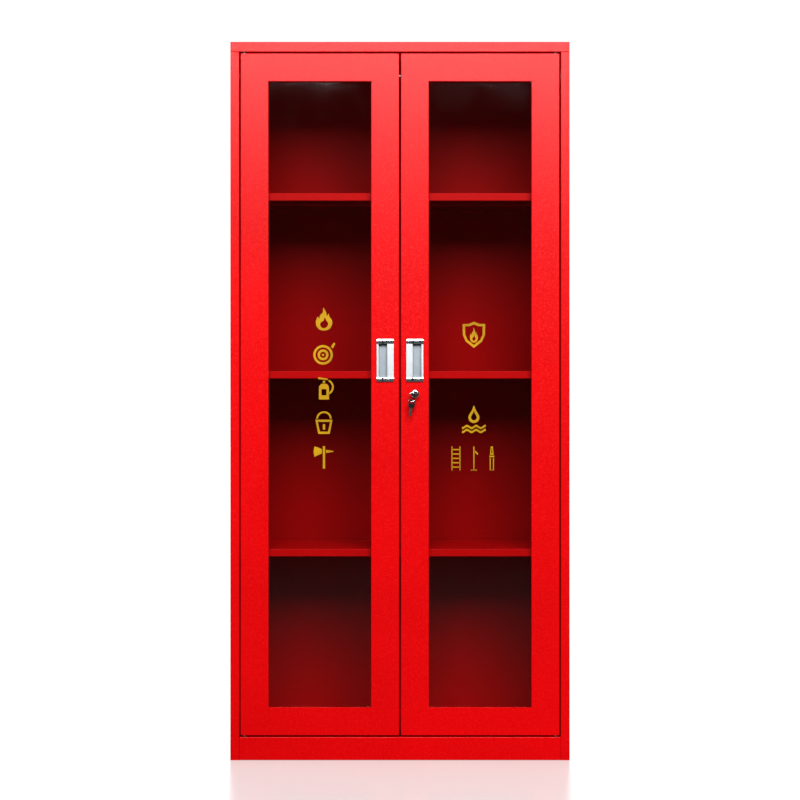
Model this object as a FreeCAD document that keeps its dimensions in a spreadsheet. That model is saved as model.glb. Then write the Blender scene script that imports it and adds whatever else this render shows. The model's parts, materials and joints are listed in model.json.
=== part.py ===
import FreeCAD, Part
import math
import os
import types

import Sketcher

# Free-standing steel fire-equipment locker with two glazed doors, in millimetres.
# Frame: +Z up, the floor is z = 0, the middle of the carcass is x = y = 0, and the doors face -Y.

# ---------------------------------------------------------------- driving dimensions
DRIVING = (
    ("cabinet_w", 850.0, "carcass width"),
    ("cabinet_d", 390.0, "carcass depth"),
    ("cabinet_h", 1800.0, "carcass height"),
    ("sheet_t", 0.8, "steel sheet thickness"),
    ("stile_w", 22.0, "front face of a side panel"),
    ("tuck_gap", 3.0, "opening left where the box fold meets the side wall"),
    ("flange_w", 20.0, "flanges turned in at the rear and the top of the side panels"),
    ("fascia_h", 25.0, "front face of the top panel"),
    ("stop_drop", 14.0, "door stop flanges, top and bottom"),
    ("plinth_h", 58.0, "front face of the bottom panel"),
    ("foot_w", 30.0, "flange on which the bottom panel stands"),
    ("panel_gap", 0.2, "clearance between the plinth and the side panels"),
    ("back_inset", 2.0, "how far the back panel's edges stay inside the carcass"),
    ("side_gap", 3.5, "gap between a door and its side panel"),
    ("centre_gap", 4.5, "gap between the doors"),
    ("head_gap", 4.0, "gap above and below the doors"),
    ("door_t", 20.0, "door thickness"),
    ("rail_w", 70.0, "stiles and rails of a door"),
    ("door_return", 15.0, "flange turned in at the rear of a door"),
    ("reveal_d", 9.0, "depth of the window reveal"),
    ("rebate_w", 16.0, "glazing flange round the window"),
    ("glass_t", 4.0, "glass thickness"),
    ("glass_lap", 7.0, "how far the glass reaches past the window edge"),
    ("gasket_t", 1.5, "rubber glazing channel"),
    ("gasket_inset", 1.0, "how far that rubber stays back from the window edge"),
    ("bead_lap", 1.5, "where the glazing beads start, from the window edge"),
    ("bead_web", 9.0, "where their webs stand, from the window edge"),
    ("bead_w", 15.5, "where their feet end, from the window edge"),
    ("bead_end", 12.5, "how far the top and bottom beads run past the window"),
    ("bead_gap", 0.3, "gap between the ends of the beads"),
    ("bead_screw_in", 12.8, "their screws, from the window edge"),
    ("bead_screw_r", 1.25, "shank radius of those screws"),
    ("bead_head_r", 2.5, "head radius of those screws"),
    ("bead_head_t", 1.6, "head height of those screws"),
    ("bead_screw_l", 4.8, "shank length of those screws"),
    ("screw_play", 0.1, "radial clearance of screw holes"),
    ("pivot_in", 9.0, "hinge pin, from the door's outer edge"),
    ("pivot_back", 8.0, "hinge pin, from the door's front face"),
    ("pin_r", 3.0, "hinge pin radius"),
    ("pin_play", 0.05, "radial running clearance of pins and plug"),
    ("pin_reach", 10.0, "how far a hinge pin stands out of the door"),
    ("pin_plate_t", 2.0, "plate that carries the pin inside the door"),
    ("pin_plate_w", 12.0, "width of that plate"),
    ("collar_r", 4.5, "thrust collar on the lower pin"),
    ("collar_play", 0.2, "axial clearance of that collar"),
    ("bush_r", 4.5, "hinge bush radius"),
    ("bush_flange_r", 7.0, "hinge bush flange radius"),
    ("bush_flange_t", 1.5, "hinge bush flange thickness"),
    ("bush_l", 8.0, "hinge bush length beyond the flange"),
    ("upright_w", 25.0, "width of a slotted upright"),
    ("upright_d", 10.0, "depth of a slotted upright"),
    ("upright_front", 3.0, "front uprights, behind the side panels' box folds"),
    ("upright_rear", 23.0, "rear uprights, from the back of the carcass"),
    ("upright_gap", 4.0, "space above the uprights"),
    ("slot_base", 116.5, "height of the lowest upright slot"),
    ("slot_pitch", 32.0, "pitch of the upright slots"),
    ("slot_w", 3.2, "width of an upright slot"),
    ("slot_height", 14.0, "height of an upright slot"),
    ("low_slot", 12.0, "slots below the lowest shelf's clips"),
    ("shelf_step", 14.0, "slots from one shelf to the next"),
    ("shelf_lip", 19.0, "depth of a shelf's edges"),
    ("shelf_return", 12.0, "flange turned in under a shelf's edges"),
    ("shelf_gap", 1.5, "gap between a shelf and the uprights"),
    ("shelf_front", 3.0, "shelf front edge, behind the door stops"),
    ("shelf_rear", 7.0, "shelf rear edge, from the carcass back"),
    ("rib_w", 36.0, "width of the hat rib under a shelf"),
    ("rib_d", 14.0, "depth of the hat rib, from the shelf's top face"),
    ("rib_foot", 12.0, "feet of the hat rib"),
    ("rib_end", 12.0, "space at each end of the hat rib"),
    ("clip_w", 16.0, "width of a shelf clip"),
    ("clip_t", 1.2, "thickness of a shelf clip"),
    ("clip_ledge", 9.0, "how far a clip reaches under the shelf"),
    ("clip_drop", 16.0, "height of a clip"),
    ("clip_tab_w", 2.6, "width of the tab that enters the slot"),
    ("clip_tab_l", 4.0, "length of that tab"),
    ("clip_tab_height", 12.0, "height of that tab"),
    ("clip_to_slot", 8.0, "slot centre below the clip's ledge"),
    ("bumper_r", 5.0, "rubber bumper radius"),
    ("stop_gap", 4.0, "room between a closed door and its stops, for the bumpers"),
    ("bumper_play", 0.2, "clearance between bumper and closed door"),
    ("bumper_in", 9.0, "bumpers, above or below the door's edge line"),
    ("screw_r", 2.0, "shank radius of the carcass screws"),
    ("screw_head_r", 4.0, "head radius of the carcass screws"),
    ("screw_head_t", 1.6, "head height of the carcass screws"),
    ("screw_l", 5.0, "shank length of the carcass screws"),
    ("top_screw_in", 14.0, "top screws, from the carcass sides"),
    ("back_screw_in", 11.0, "back screws, from the carcass sides"),
    ("pull_z", 1001.5, "height of the middle of the pulls"),
    ("pull_w", 43.0, "pull width"),
    ("pull_h", 106.0, "pull height"),
    ("pull_flange", 5.3, "pull's flange beside the finger recess"),
    ("pull_proud", 2.0, "how far that flange stands out"),
    ("pull_mouth", 27.0, "where the finger lip starts, across the pull"),
    ("pull_inner", 38.0, "where the finger recess ends, under the lip"),
    ("pull_wall", 1.6, "wall of the pull extrusion"),
    ("pull_depth", 13.2, "depth of the pull behind the door's face"),
    ("lip_proud", 4.0, "how far the finger lip stands out"),
    ("lip_hook", 1.6, "how far the finger lip turns in"),
    ("cap_top", 11.5, "upper end cap of a pull"),
    ("cap_bottom", 10.0, "lower end cap of a pull"),
    ("cap_proud", 4.5, "how far the end caps stand out"),
    ("cap_plug", 4.0, "length of an end cap inside the door"),
    ("cap_round", 2.0, "rounding of the end caps"),
    ("cap_scoop_r", 4.3, "scoop in an end cap"),
    ("cap_scoop_d", 3.2, "depth of that scoop"),
    ("cap_scoop_x", 15.8, "scoop centre, from the pull's left edge"),
    ("cap_scoop_in", 4.2, "scoop centre, from the cap's inner end"),
    ("cut_play", 0.5, "clearance round the pull in the door skin"),
    ("clamp_t", 1.5, "clamp plates behind the pull"),
    ("clamp_over", 2.0, "how far they reach past the pull"),
    ("clamp_w", 10.0, "height of a clamp plate"),
    ("pull_screw_in", 7.2, "pull screws, beyond the ends of the extrusion"),
    ("pull_screw_r", 1.5, "shank radius of the pull screws"),
    ("pull_screw_l", 5.0, "shank length of the pull screws"),
    ("pull_head_r", 3.0, "head radius of the pull screws"),
    ("pull_head_t", 2.0, "head height of the pull screws"),
    ("lock_z", 917.6, "height of the lock"),
    ("lock_face_r", 11.0, "lock face radius"),
    ("lock_proud", 3.0, "how far the lock face stands out"),
    ("barrel_r", 9.0, "lock barrel radius"),
    ("barrel_l", 15.0, "lock barrel length behind the door's face"),
    ("barrel_play", 0.2, "clearance of the barrel in the door skin"),
    ("nut_flats", 25.0, "lock nut across the flats"),
    ("nut_t", 3.0, "lock nut thickness"),
    ("plug_r", 6.0, "lock plug radius"),
    ("plug_proud", 0.4, "how far the plug stands out of the face"),
    ("stub_r", 4.0, "rear stub of the plug"),
    ("keyway_l", 17.2, "depth of the keyway"),
    ("key_play", 0.1, "clearance of the blade in the keyway"),
    ("cam_t", 1.6, "cam thickness"),
    ("cam_w", 10.0, "cam width"),
    ("cam_back", 19.0, "cam's front face, from the door's front face"),
    ("crank_r", 13.0, "cam pins, from the lock's axis"),
    ("crank_pin_r", 2.0, "cam pin radius"),
    ("crank_pin_l", 3.0, "cam pin length"),
    ("cam_screw_r", 2.0, "cam screw shank radius"),
    ("cam_screw_l", 6.0, "cam screw shank length"),
    ("cam_head_r", 4.5, "cam screw head radius"),
    ("cam_head_t", 1.8, "cam screw head height"),
    ("rod_w", 12.0, "width of a locking rod"),
    ("rod_t", 2.0, "thickness of a locking rod"),
    ("rod_off", 11.0, "rods, to either side of the lock's axis"),
    ("rod_back", 16.5, "rods' front face, from the door's front face"),
    ("rod_rest", 5.0, "rod ends inside the door's edge when unlocked"),
    ("rod_head_w", 13.4, "width of a rod's slotted head"),
    ("rod_head_h", 13.0, "height of a rod's slotted head"),
    ("rod_slot_w", 8.4, "width of that slot"),
    ("rod_slot_h", 5.1, "height of that slot"),
    ("rod_play", 0.5, "clearance of rods and bolts in the holes they pass"),
    ("guide_wall", 1.4, "wall of a nylon rod guide"),
    ("guide_play", 0.3, "clearance of a rod in its guide"),
    ("guide_h", 14.0, "height of a rod guide"),
    ("guide_end", 22.0, "outer rod guides, from the door's end"),
    ("guide_near", 160.0, "inner rod guides, from the lock's axis"),
    ("bolt_w", 10.0, "width of a slide bolt"),
    ("bolt_t", 3.0, "thickness of a slide bolt"),
    ("bolt_l", 66.0, "length of a slide bolt"),
    ("bolt_back", 15.0, "bolts' front face, from the door's front face"),
    ("bolt_rest", 5.0, "bolt ends inside the door's edge when open"),
    ("knob_r", 3.0, "bolt knob radius"),
    ("knob_l", 6.0, "bolt knob length"),
    ("knob_in", 9.0, "bolt knob, from the bolt's inner end"),
    ("housing_w", 18.0, "width of a bolt housing"),
    ("housing_h", 26.0, "height of a bolt housing"),
    ("housing_in", 17.0, "bolt housing, from the door's end"),
    ("bow_w", 19.0, "key bow width"),
    ("bow_l", 22.0, "key bow length"),
    ("bow_t", 4.0, "key bow thickness"),
    ("bow_edge", 1.7, "rounding of the key bow's edges"),
    ("slot_corner", 2.3, "rounding of the corners of the ring's slot"),
    ("bow_corner", 6.0, "rounding of the key bow's corners"),
    ("bow_slot_w", 11.0, "slot for the ring"),
    ("bow_slot_h", 5.0, "height of that slot"),
    ("bow_slot_in", 15.7, "slot centre, from the key's shoulder"),
    ("blade_w", 7.0, "key blade width"),
    ("blade_t", 2.0, "key blade thickness"),
    ("blade_l", 20.0, "key blade length"),
    ("blade_cut", 1.2, "depth of the cuts in the blade"),
    ("key_stand", 3.1, "key shoulder, in front of the plug"),
    ("ring_r", 11.0, "key ring, middle of the wire"),
    ("ring_wire_r", 0.8, "key ring wire radius"),
    ("ring_play", 0.25, "clearance between the ring and the key in the lock"),
    ("spare_play", 0.7, "clearance between the ring and the spare key"),
    ("mark_t", 0.15, "thickness of the vinyl marks on the glass"),
    ("left_mark_size", 57.0, "marks on the left glass"),
    ("left_mark_pitch", 86.7, "their pitch"),
    ("left_mark_z", 932.0, "height of the middle one"),
    ("left_mark_in", 10.0, "their offset from the window's middle"),
    ("right_mark_size", 66.0, "large marks on the right glass"),
    ("right_mark_pitch", 210.0, "their pitch"),
    ("right_mark_z", 856.0, "height of the lower one"),
    ("right_mark_in", 15.4, "their offset from the window's middle"),
    ("small_mark_w", 26.0, "width of the small marks under them"),
    ("small_mark_h", 61.0, "height of those"),
    ("small_mark_pitch", 45.0, "their pitch"),
    ("small_mark_z", 756.0, "their height"),
)

doc = FreeCAD.newDocument("locker")
sheet = doc.addObject("Spreadsheet::Sheet", "Sheet")
for row, (alias, number, note) in enumerate(DRIVING, start=1):
    sheet.set(f"A{row}", note)
    sheet.set(f"B{row}", str(number))
    sheet.setAlias(f"B{row}", alias)
doc.recompute()


# ---------------------------------------------------------------- sizes that know their formula
class Dim:
    """A length: its present value, and the spreadsheet expression that gives it."""

    def __init__(self, value, text):
        self.value = value
        self.text = text

    def __add__(self, other):
        other = as_dim(other)
        return Dim(self.value + other.value, f"({self.text} + {other.text})")

    def __sub__(self, other):
        other = as_dim(other)
        return Dim(self.value - other.value, f"({self.text} - {other.text})")

    def __rsub__(self, other):
        return as_dim(other) - self

    def __mul__(self, factor):
        return Dim(self.value * factor, f"({self.text} * {factor!r})")

    def __truediv__(self, divisor):
        return Dim(self.value / divisor, f"({self.text} / {divisor!r})")

    def __neg__(self):
        return Dim(-self.value, f"(-{self.text})")

    __radd__ = __add__
    __rmul__ = __mul__


def as_dim(number):
    return number if isinstance(number, Dim) else Dim(float(number), repr(float(number)))


size = types.SimpleNamespace(**{alias: Dim(number, f"Sheet.{alias}") for alias, number, _ in DRIVING})
zero = as_dim(0)

# Carcass planes
half_w = size.cabinet_w / 2
front = -size.cabinet_d / 2
back = size.cabinet_d / 2
shoulder = size.cabinet_h - size.fascia_h
door_rear = front + size.door_t
stop_plane = door_rear + size.stop_gap
opening_half = half_w - size.stile_w
inner_half = half_w - size.sheet_t
floor_top = size.plinth_h + size.stop_drop
back_front = back - size.sheet_t * 2

# Door planes; a door's box is (inner x, low z, outer x, high z), measured away from the middle
door = (size.centre_gap / 2, size.plinth_h + size.head_gap,
        opening_half - size.side_gap, shoulder - size.head_gap)
window = (door[0] + size.rail_w, door[1] + size.rail_w, door[2] - size.rail_w, door[3] - size.rail_w)
skin_rear = front + size.sheet_t
rebate_rear = front + size.reveal_d
glass_front = rebate_rear + size.gasket_t
glass_rear = glass_front + size.glass_t
bead_front = glass_rear + size.gasket_t
pivot_x = door[2] - size.pivot_in
pivot_y = front + size.pivot_back
stile_mid = door[0] + size.rail_w / 2
rod_front = front + size.rod_back
rod_rear = rod_front + size.rod_t
bolt_front = front + size.bolt_back
bolt_rear = bolt_front + size.bolt_t

# Shelves hang in the slots of the uprights
clip_ledge_z = size.slot_base + size.clip_to_slot
shelf_low_z = Dim(size.low_slot.value * size.slot_pitch.value,
                  f"({size.low_slot.text} * {size.slot_pitch.text})") + clip_ledge_z + size.shelf_lip
shelf_pitch = Dim(size.shelf_step.value * size.slot_pitch.value,
                  f"({size.shelf_step.text} * {size.slot_pitch.text})")
web_half = inner_half - size.upright_d
shelf_half = web_half - size.shelf_gap
shelf_y = (stop_plane + size.shelf_front, back - size.shelf_rear)
SHELVES = ("shelf_lower", "shelf_middle", "shelf_upper")
SIDES = {"left": -1, "right": 1}


# ---------------------------------------------------------------- sketch outlines
class Polygon:
    """Closed outline with straight runs; each corner is held by two dimensions."""

    def __init__(self, corners):
        self.corners = [(as_dim(u), as_dim(v)) for u, v in corners]

    def draw(self, sketch):
        points = [FreeCAD.Vector(u.value, v.value, 0) for u, v in self.corners]
        count = len(points)
        first = sketch.GeometryCount
        sketch.addGeometry([Part.LineSegment(points[i], points[(i + 1) % count]) for i in range(count)])
        sketch.addConstraint([Sketcher.Constraint("Coincident", first + i, 2, first + (i + 1) % count, 1)
                              for i in range(count)])
        for i, (u, v) in enumerate(self.corners):
            hold_point(sketch, first + i, 1, u, v)


class Circle:
    """Circle held by its centre and radius."""

    def __init__(self, u, v, radius):
        self.u = as_dim(u)
        self.v = as_dim(v)
        self.radius = radius

    def draw(self, sketch):
        centre = FreeCAD.Vector(self.u.value, self.v.value, 0)
        index = sketch.addGeometry(Part.Circle(centre, FreeCAD.Vector(0, 0, 1), self.radius.value))
        hold_point(sketch, index, 3, self.u, self.v)
        radius = sketch.addConstraint(Sketcher.Constraint("Radius", index, self.radius.value))
        sketch.setExpression(f"Constraints[{radius}]", self.radius.text)


def hold_point(sketch, geometry, point, u, v):
    for kind, dim in (("DistanceX", u), ("DistanceY", v)):
        index = sketch.addConstraint(Sketcher.Constraint(kind, -1, 1, geometry, point, dim.value))
        sketch.setExpression(f"Constraints[{index}]", dim.text)


def rectangle(u_low, v_low, u_high, v_high):
    return Polygon([(u_low, v_low), (u_high, v_low), (u_high, v_high), (u_low, v_high)])


def centred(u, v, width, height):
    return rectangle(u - width / 2, v - height / 2, u + width / 2, v + height / 2)


def box(side, bounds):
    """Rectangle of a door-style box, on the left (side -1) or the right (side 1)."""
    return rectangle(side * bounds[0], bounds[1], side * bounds[2], bounds[3])


def grown(bounds, margin):
    return (bounds[0] - margin, bounds[1] - margin, bounds[2] + margin, bounds[3] + margin)


def folded(path, hand, thickness=size.sheet_t):
    """Section of a sheet folded along path, which runs along the axes; hand 1 thickens to its left."""
    path = [(as_dim(u), as_dim(v)) for u, v in path]
    inner = []
    for index, (u, v) in enumerate(path):
        shift_u, shift_v = 0, 0
        for start in (index - 1, index):
            if 0 <= start < len(path) - 1:
                run_u = path[start + 1][0].value - path[start][0].value
                run_v = path[start + 1][1].value - path[start][1].value
                length = math.hypot(run_u, run_v)
                shift_u -= hand * round(run_v / length)
                shift_v += hand * round(run_u / length)
        inner.append((u + thickness * shift_u, v + thickness * shift_v))
    return Polygon(path + inner[::-1])


def hexagon(u, v, across_flats):
    radius = across_flats / (2 * math.cos(math.pi / 6))
    turns = [math.radians(60 * step) for step in range(6)]
    return Polygon([(u + radius * math.cos(turn), v + radius * math.sin(turn)) for turn in turns])


# ---------------------------------------------------------------- bodies
pieces = []


class Piece:
    """One sub-part: a PartDesign body with its features bound to the sheet."""

    def __init__(self, name):
        self.body = doc.addObject("PartDesign::Body", name)
        self.body.Label = name
        self.body.AllowCompound = True
        pieces.append(self.body)

    def sketch(self, plane, start, outlines):
        sketch = self.body.newObject("Sketcher::SketchObject", "Sketch")
        origin = [feature for feature in self.body.Origin.OriginFeatures
                  if feature.Role == f"{plane}_Plane"][0]
        sketch.AttachmentSupport = [(origin, "")]
        sketch.MapMode = "FlatFace"
        sketch.setExpression("AttachmentOffset.Base.z", start.text)
        for outline in outlines:
            outline.draw(sketch)
        return sketch

    def extrude(self, kind, plane, low, high, outlines):
        """Pad or pocket from low to high along the axis that the plane leaves out."""
        low, high = as_dim(low), as_dim(high)
        start = -high if plane == "XZ" else low
        sketch = self.sketch(plane, start, outlines)
        feature = self.body.newObject(f"PartDesign::{kind}", kind)
        feature.Profile = sketch
        feature.Reversed = kind == "Pocket"
        feature.setExpression("Length", (high - low).text)
        self.body.Tip = feature
        return feature

    def pad(self, plane, low, high, *outlines):
        return self.extrude("Pad", plane, low, high, outlines)

    def pocket(self, plane, low, high, *outlines):
        return self.extrude("Pocket", plane, low, high, outlines)

    def pattern(self, features, axis, pitch, count_text):
        """Repeat features along a body axis, such as Z_Axis, at a pitch."""
        doc.recompute()
        repeat = self.body.newObject("PartDesign::LinearPattern", "Pattern")
        repeat.Originals = features
        direction = [feature for feature in self.body.Origin.OriginFeatures if feature.Role == axis][0]
        repeat.Direction = (direction, [""])
        repeat.Mode = "Spacing"
        repeat.setExpression("Offset", pitch.text)
        repeat.setExpression("Occurrences", count_text)
        self.body.Tip = repeat
        return repeat

    def round_edges(self, radius, chosen):
        """Fillet every edge for which chosen(edge) holds."""
        doc.recompute()
        base = self.body.Tip
        names = [f"Edge{number}" for number, edge in enumerate(base.Shape.Edges, start=1) if chosen(edge)]
        fillet = self.body.newObject("PartDesign::Fillet", "Fillet")
        fillet.Base = (base, names)
        fillet.setExpression("Radius", radius.text)
        self.body.Tip = fillet
        return fillet

    def place(self, x=zero, y=zero, z=zero):
        for axis, dim in (("x", x), ("y", y), ("z", z)):
            self.body.setExpression(f"Placement.Base.{axis}", as_dim(dim).text)


def span(side, near, far):
    """Low and high x of something between near and far, on the given side."""
    return (near, far) if side > 0 else (-far, -near)


def screws(piece, plane, heads_at, away, places, shank_r, shank_l, head_r, head_t):
    """Screws whose heads sit on the plane heads_at; away is the side that the heads stand on."""
    tip = heads_at - away * shank_l
    top = heads_at + away * head_t
    shank = (tip, heads_at) if away > 0 else (heads_at, tip)
    head = (heads_at, top) if away > 0 else (top, heads_at)
    piece.pad(plane, *shank, *[Circle(u, v, shank_r) for u, v in places])
    piece.pad(plane, *head, *[Circle(u, v, head_r) for u, v in places])
    socket = (top - head_t / 2, top) if away > 0 else (top, top + head_t / 2)
    piece.pocket(plane, *socket, *[hexagon(u, v, head_r * 0.9) for u, v in places])


def holes(places, radius):
    return [Circle(u, v, radius + size.screw_play) for u, v in places]


# ---------------------------------------------------------------- carcass
def top_screw_places(side):
    return [(side * (half_w - size.top_screw_in), size.cabinet_d * share) for share in (-0.3, 0.0, 0.3)]


def back_screw_places(side):
    low, high = floor_top, shoulder
    return [(side * (half_w - size.back_screw_in), low + (high - low) * share)
            for share in (0.06, 0.28, 0.5, 0.72, 0.94)]


def base_screw_places():
    return [(size.cabinet_w * share, size.plinth_h / 2) for share in (-0.33, 0.0, 0.33)]


def plinth_screw_places():
    """(y, z) of the screws that hold the plinth's end tabs to the side panels."""
    return [((front + stop_plane) / 2, size.plinth_h * share) for share in (0.25, 0.75)]


def side_panel(name, side):
    piece = Piece(name)
    edge = side * half_w
    stile = side * opening_half
    section = folded([(side * (half_w - size.flange_w), back), (edge, back), (edge, front),
                      (stile, front), (stile, stop_plane),
                      (side * (half_w - size.tuck_gap), stop_plane)], -side)
    piece.pad("XY", zero, shoulder, section)
    cover = Polygon([(edge, front), (stile, front), (stile, stop_plane),
                     (side * (half_w - size.flange_w), stop_plane),
                     (side * (half_w - size.flange_w), back), (edge, back)])
    piece.pad("XY", shoulder - size.sheet_t, shoulder, cover)
    piece.pocket("XY", shoulder - size.sheet_t, shoulder, *holes(top_screw_places(side), size.screw_r))
    piece.pocket("XZ", back - size.sheet_t, back, *holes(back_screw_places(side), size.screw_r))
    wall = span(side, opening_half, opening_half + size.sheet_t)
    piece.pocket("YZ", *wall, *holes(plinth_screw_places(), size.screw_r))


def rod_passages():
    """Openings through which locking rods and slide bolts leave the doors, top and bottom."""
    rod_y = rod_front + size.rod_t / 2
    bolt_y = bolt_front + size.bolt_t / 2
    play = size.rod_play * 2
    bolt = centred(-stile_mid, bolt_y, size.bolt_w + play, size.bolt_t + play)
    upper = centred(stile_mid + size.rod_off, rod_y, size.rod_w + play, size.rod_t + play)
    lower = centred(stile_mid - size.rod_off, rod_y, size.rod_w + play, size.rod_t + play)
    return {"top": {-1: bolt, 1: upper}, "bottom": {-1: bolt, 1: lower}}


def bush_holes():
    return [Circle(side * pivot_x, pivot_y, size.bush_r + size.pin_play) for side in SIDES.values()]


def top_panel():
    piece = Piece("top_panel")
    section = folded([(back - size.flange_w, shoulder), (back, shoulder), (back, size.cabinet_h),
                      (front, size.cabinet_h), (front, shoulder), (stop_plane, shoulder)], 1)
    piece.pad("YZ", -half_w, half_w, section)
    for side in SIDES.values():
        inward = side * (half_w - size.flange_w)
        flange = folded([(inward, shoulder), (side * half_w, shoulder),
                         (side * half_w, size.cabinet_h)], side)
        piece.pad("XZ", front, back, flange)
    stop_half = opening_half - size.panel_gap
    piece.pad("XZ", stop_plane, stop_plane + size.sheet_t,
              rectangle(-stop_half, shoulder - size.stop_drop, stop_half, shoulder + size.sheet_t))
    passages = rod_passages()["top"]
    piece.pocket("XY", shoulder, shoulder + size.sheet_t, passages[-1], passages[1], *bush_holes(),
                 *holes(top_screw_places(-1) + top_screw_places(1), size.screw_r))


def bottom_panel():
    piece = Piece("bottom_panel")
    plinth_half = opening_half - size.panel_gap
    plinth = folded([(front + size.foot_w, zero), (front, zero), (front, size.plinth_h),
                     (stop_plane, size.plinth_h), (stop_plane, floor_top)], -1)
    piece.pad("YZ", -plinth_half, plinth_half, plinth)
    tray = folded([(stop_plane, floor_top), (back_front, floor_top), (back_front, zero),
                   (back_front - size.foot_w, zero)], -1)
    piece.pad("YZ", -inner_half, inner_half, tray)
    for side in SIDES.values():
        flange = folded([(side * inner_half, floor_top), (side * inner_half, zero),
                         (side * (inner_half - size.foot_w), zero)], -side)
        piece.pad("XZ", stop_plane, back_front, flange)
        tab = span(side, plinth_half - size.sheet_t, plinth_half)
        piece.pad("YZ", *tab, rectangle(front, zero, stop_plane, size.plinth_h))
        piece.pocket("YZ", *tab, *holes(plinth_screw_places(), size.screw_r))
    passages = rod_passages()["bottom"]
    piece.pocket("XY", size.plinth_h - size.sheet_t, size.plinth_h,
                 passages[-1], passages[1], *bush_holes())
    piece.pocket("XZ", back_front - size.sheet_t, back_front, *holes(base_screw_places(), size.screw_r))


def back_panel():
    piece = Piece("back_panel")
    half = inner_half - size.back_inset
    piece.pad("XZ", back_front, back_front + size.sheet_t,
              rectangle(-half, size.back_inset, half, shoulder - size.back_inset))
    places = base_screw_places() + back_screw_places(-1) + back_screw_places(1)
    piece.pocket("XZ", back_front, back_front + size.sheet_t, *holes(places, size.screw_r))


def carcass_screws():
    shank = (size.screw_r, size.screw_l, size.screw_head_r, size.screw_head_t)
    top = Piece("top_panel_screws")
    screws(top, "XY", shoulder - size.sheet_t, -1, top_screw_places(-1) + top_screw_places(1), *shank)
    bottom = Piece("bottom_panel_screws")
    tab_inner = opening_half - size.panel_gap - size.sheet_t
    screws(bottom, "YZ", -tab_inner, 1, plinth_screw_places(), *shank)
    screws(bottom, "YZ", tab_inner, -1, plinth_screw_places(), *shank)
    rear = Piece("back_panel_screws")
    screws(rear, "XZ", back, 1, back_screw_places(-1) + back_screw_places(1), *shank)
    screws(rear, "XZ", back_front + size.sheet_t, 1, base_screw_places(), *shank)


def upright(name, side, low_y):
    """Slotted channel on the inner face of a side panel, open towards the panel."""
    piece = Piece(name)
    high_y = low_y + size.upright_w
    section = folded([(side * inner_half, low_y), (side * web_half, low_y),
                      (side * web_half, high_y), (side * inner_half, high_y)], -side)
    top = shoulder - size.upright_gap
    piece.pad("XY", floor_top, top, section)
    web = span(side, web_half, web_half + size.sheet_t)
    slot = piece.pocket("YZ", *web, centred(low_y + size.upright_w / 2, size.slot_base,
                                            size.slot_w, size.slot_height))
    room = top - size.slot_base - size.slot_height
    piece.pattern([slot], "Z_Axis", size.slot_pitch, f"floor({room.text} / {size.slot_pitch.text}) + 1")


def shelf(name, level):
    """Folded tray, upside down; its top face is at the shelf's height."""
    piece = Piece(name)
    lip = -size.shelf_lip
    low, high = shelf_y
    section = folded([(low + size.shelf_return, lip), (low, lip), (low, zero), (high, zero),
                      (high, lip), (high - size.shelf_return, lip)], -1)
    piece.pad("YZ", -shelf_half, shelf_half, section)
    for side in SIDES.values():
        edge = folded([(side * shelf_half, zero), (side * shelf_half, lip),
                       (side * (shelf_half - size.shelf_return), lip)], -side)
        piece.pad("XZ", low, high, edge)
    piece.place(z=shelf_low_z + level * shelf_pitch)


def shelf_ribs():
    piece = Piece("shelf_ribs")
    middle = (shelf_y[0] + shelf_y[1]) / 2
    half = size.rib_w / 2
    seat = shelf_low_z - size.sheet_t * 2
    low = shelf_low_z - size.rib_d
    section = folded([(middle - half - size.rib_foot, seat), (middle - half, seat), (middle - half, low),
                      (middle + half, low), (middle + half, seat),
                      (middle + half + size.rib_foot, seat)], 1)
    rib_half = shelf_half - size.rib_end
    rib = piece.pad("YZ", -rib_half, rib_half, section)
    piece.pattern([rib], "Z_Axis", shelf_pitch, str(len(SHELVES)))


def shelf_clips():
    piece = Piece("shelf_clips")
    ledge = shelf_low_z - size.shelf_lip
    slot_z = ledge - size.clip_to_slot
    features = []
    for side in SIDES.values():
        hook = folded([(side * web_half, ledge - size.clip_drop), (side * web_half, ledge),
                       (side * (web_half - size.clip_ledge), ledge)], side, size.clip_t)
        tab = span(side, web_half, web_half + size.clip_tab_l)
        for low_y in upright_rows().values():
            mid_y = low_y + size.upright_w / 2
            features.append(piece.pad("XZ", mid_y - size.clip_w / 2, mid_y + size.clip_w / 2, hook))
            features.append(piece.pad("YZ", *tab, centred(mid_y, slot_z, size.clip_tab_w,
                                                          size.clip_tab_height)))
    piece.pattern(features, "Z_Axis", shelf_pitch, str(len(SHELVES)))


def upright_rows():
    """Front face of the front and the rear uprights."""
    return {"front": stop_plane + size.upright_front,
            "rear": back - size.upright_rear - size.upright_w}


def pivot_bushes():
    piece = Piece("pivot_bushes")
    bore = size.pin_r + size.pin_play
    below, above = size.plinth_h, shoulder
    stages = ((above - size.bush_flange_t, above, size.bush_flange_r),
              (above, above + size.bush_l, size.bush_r),
              (below, below + size.bush_flange_t, size.bush_flange_r),
              (below - size.bush_l, below, size.bush_r))
    for side in SIDES.values():
        for low, high, radius in stages:
            piece.pad("XY", low, high, Circle(side * pivot_x, pivot_y, radius),
                      Circle(side * pivot_x, pivot_y, bore))


def door_bumpers():
    piece = Piece("door_bumpers")
    heights = (shoulder - size.bumper_in, size.plinth_h + size.bumper_in)
    spots = [Circle(side * door[2] * share, level, size.bumper_r)
             for side in SIDES.values() for share in (0.3, 0.8) for level in heights]
    piece.pad("XZ", door_rear + size.bumper_play, stop_plane, *spots)


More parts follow.
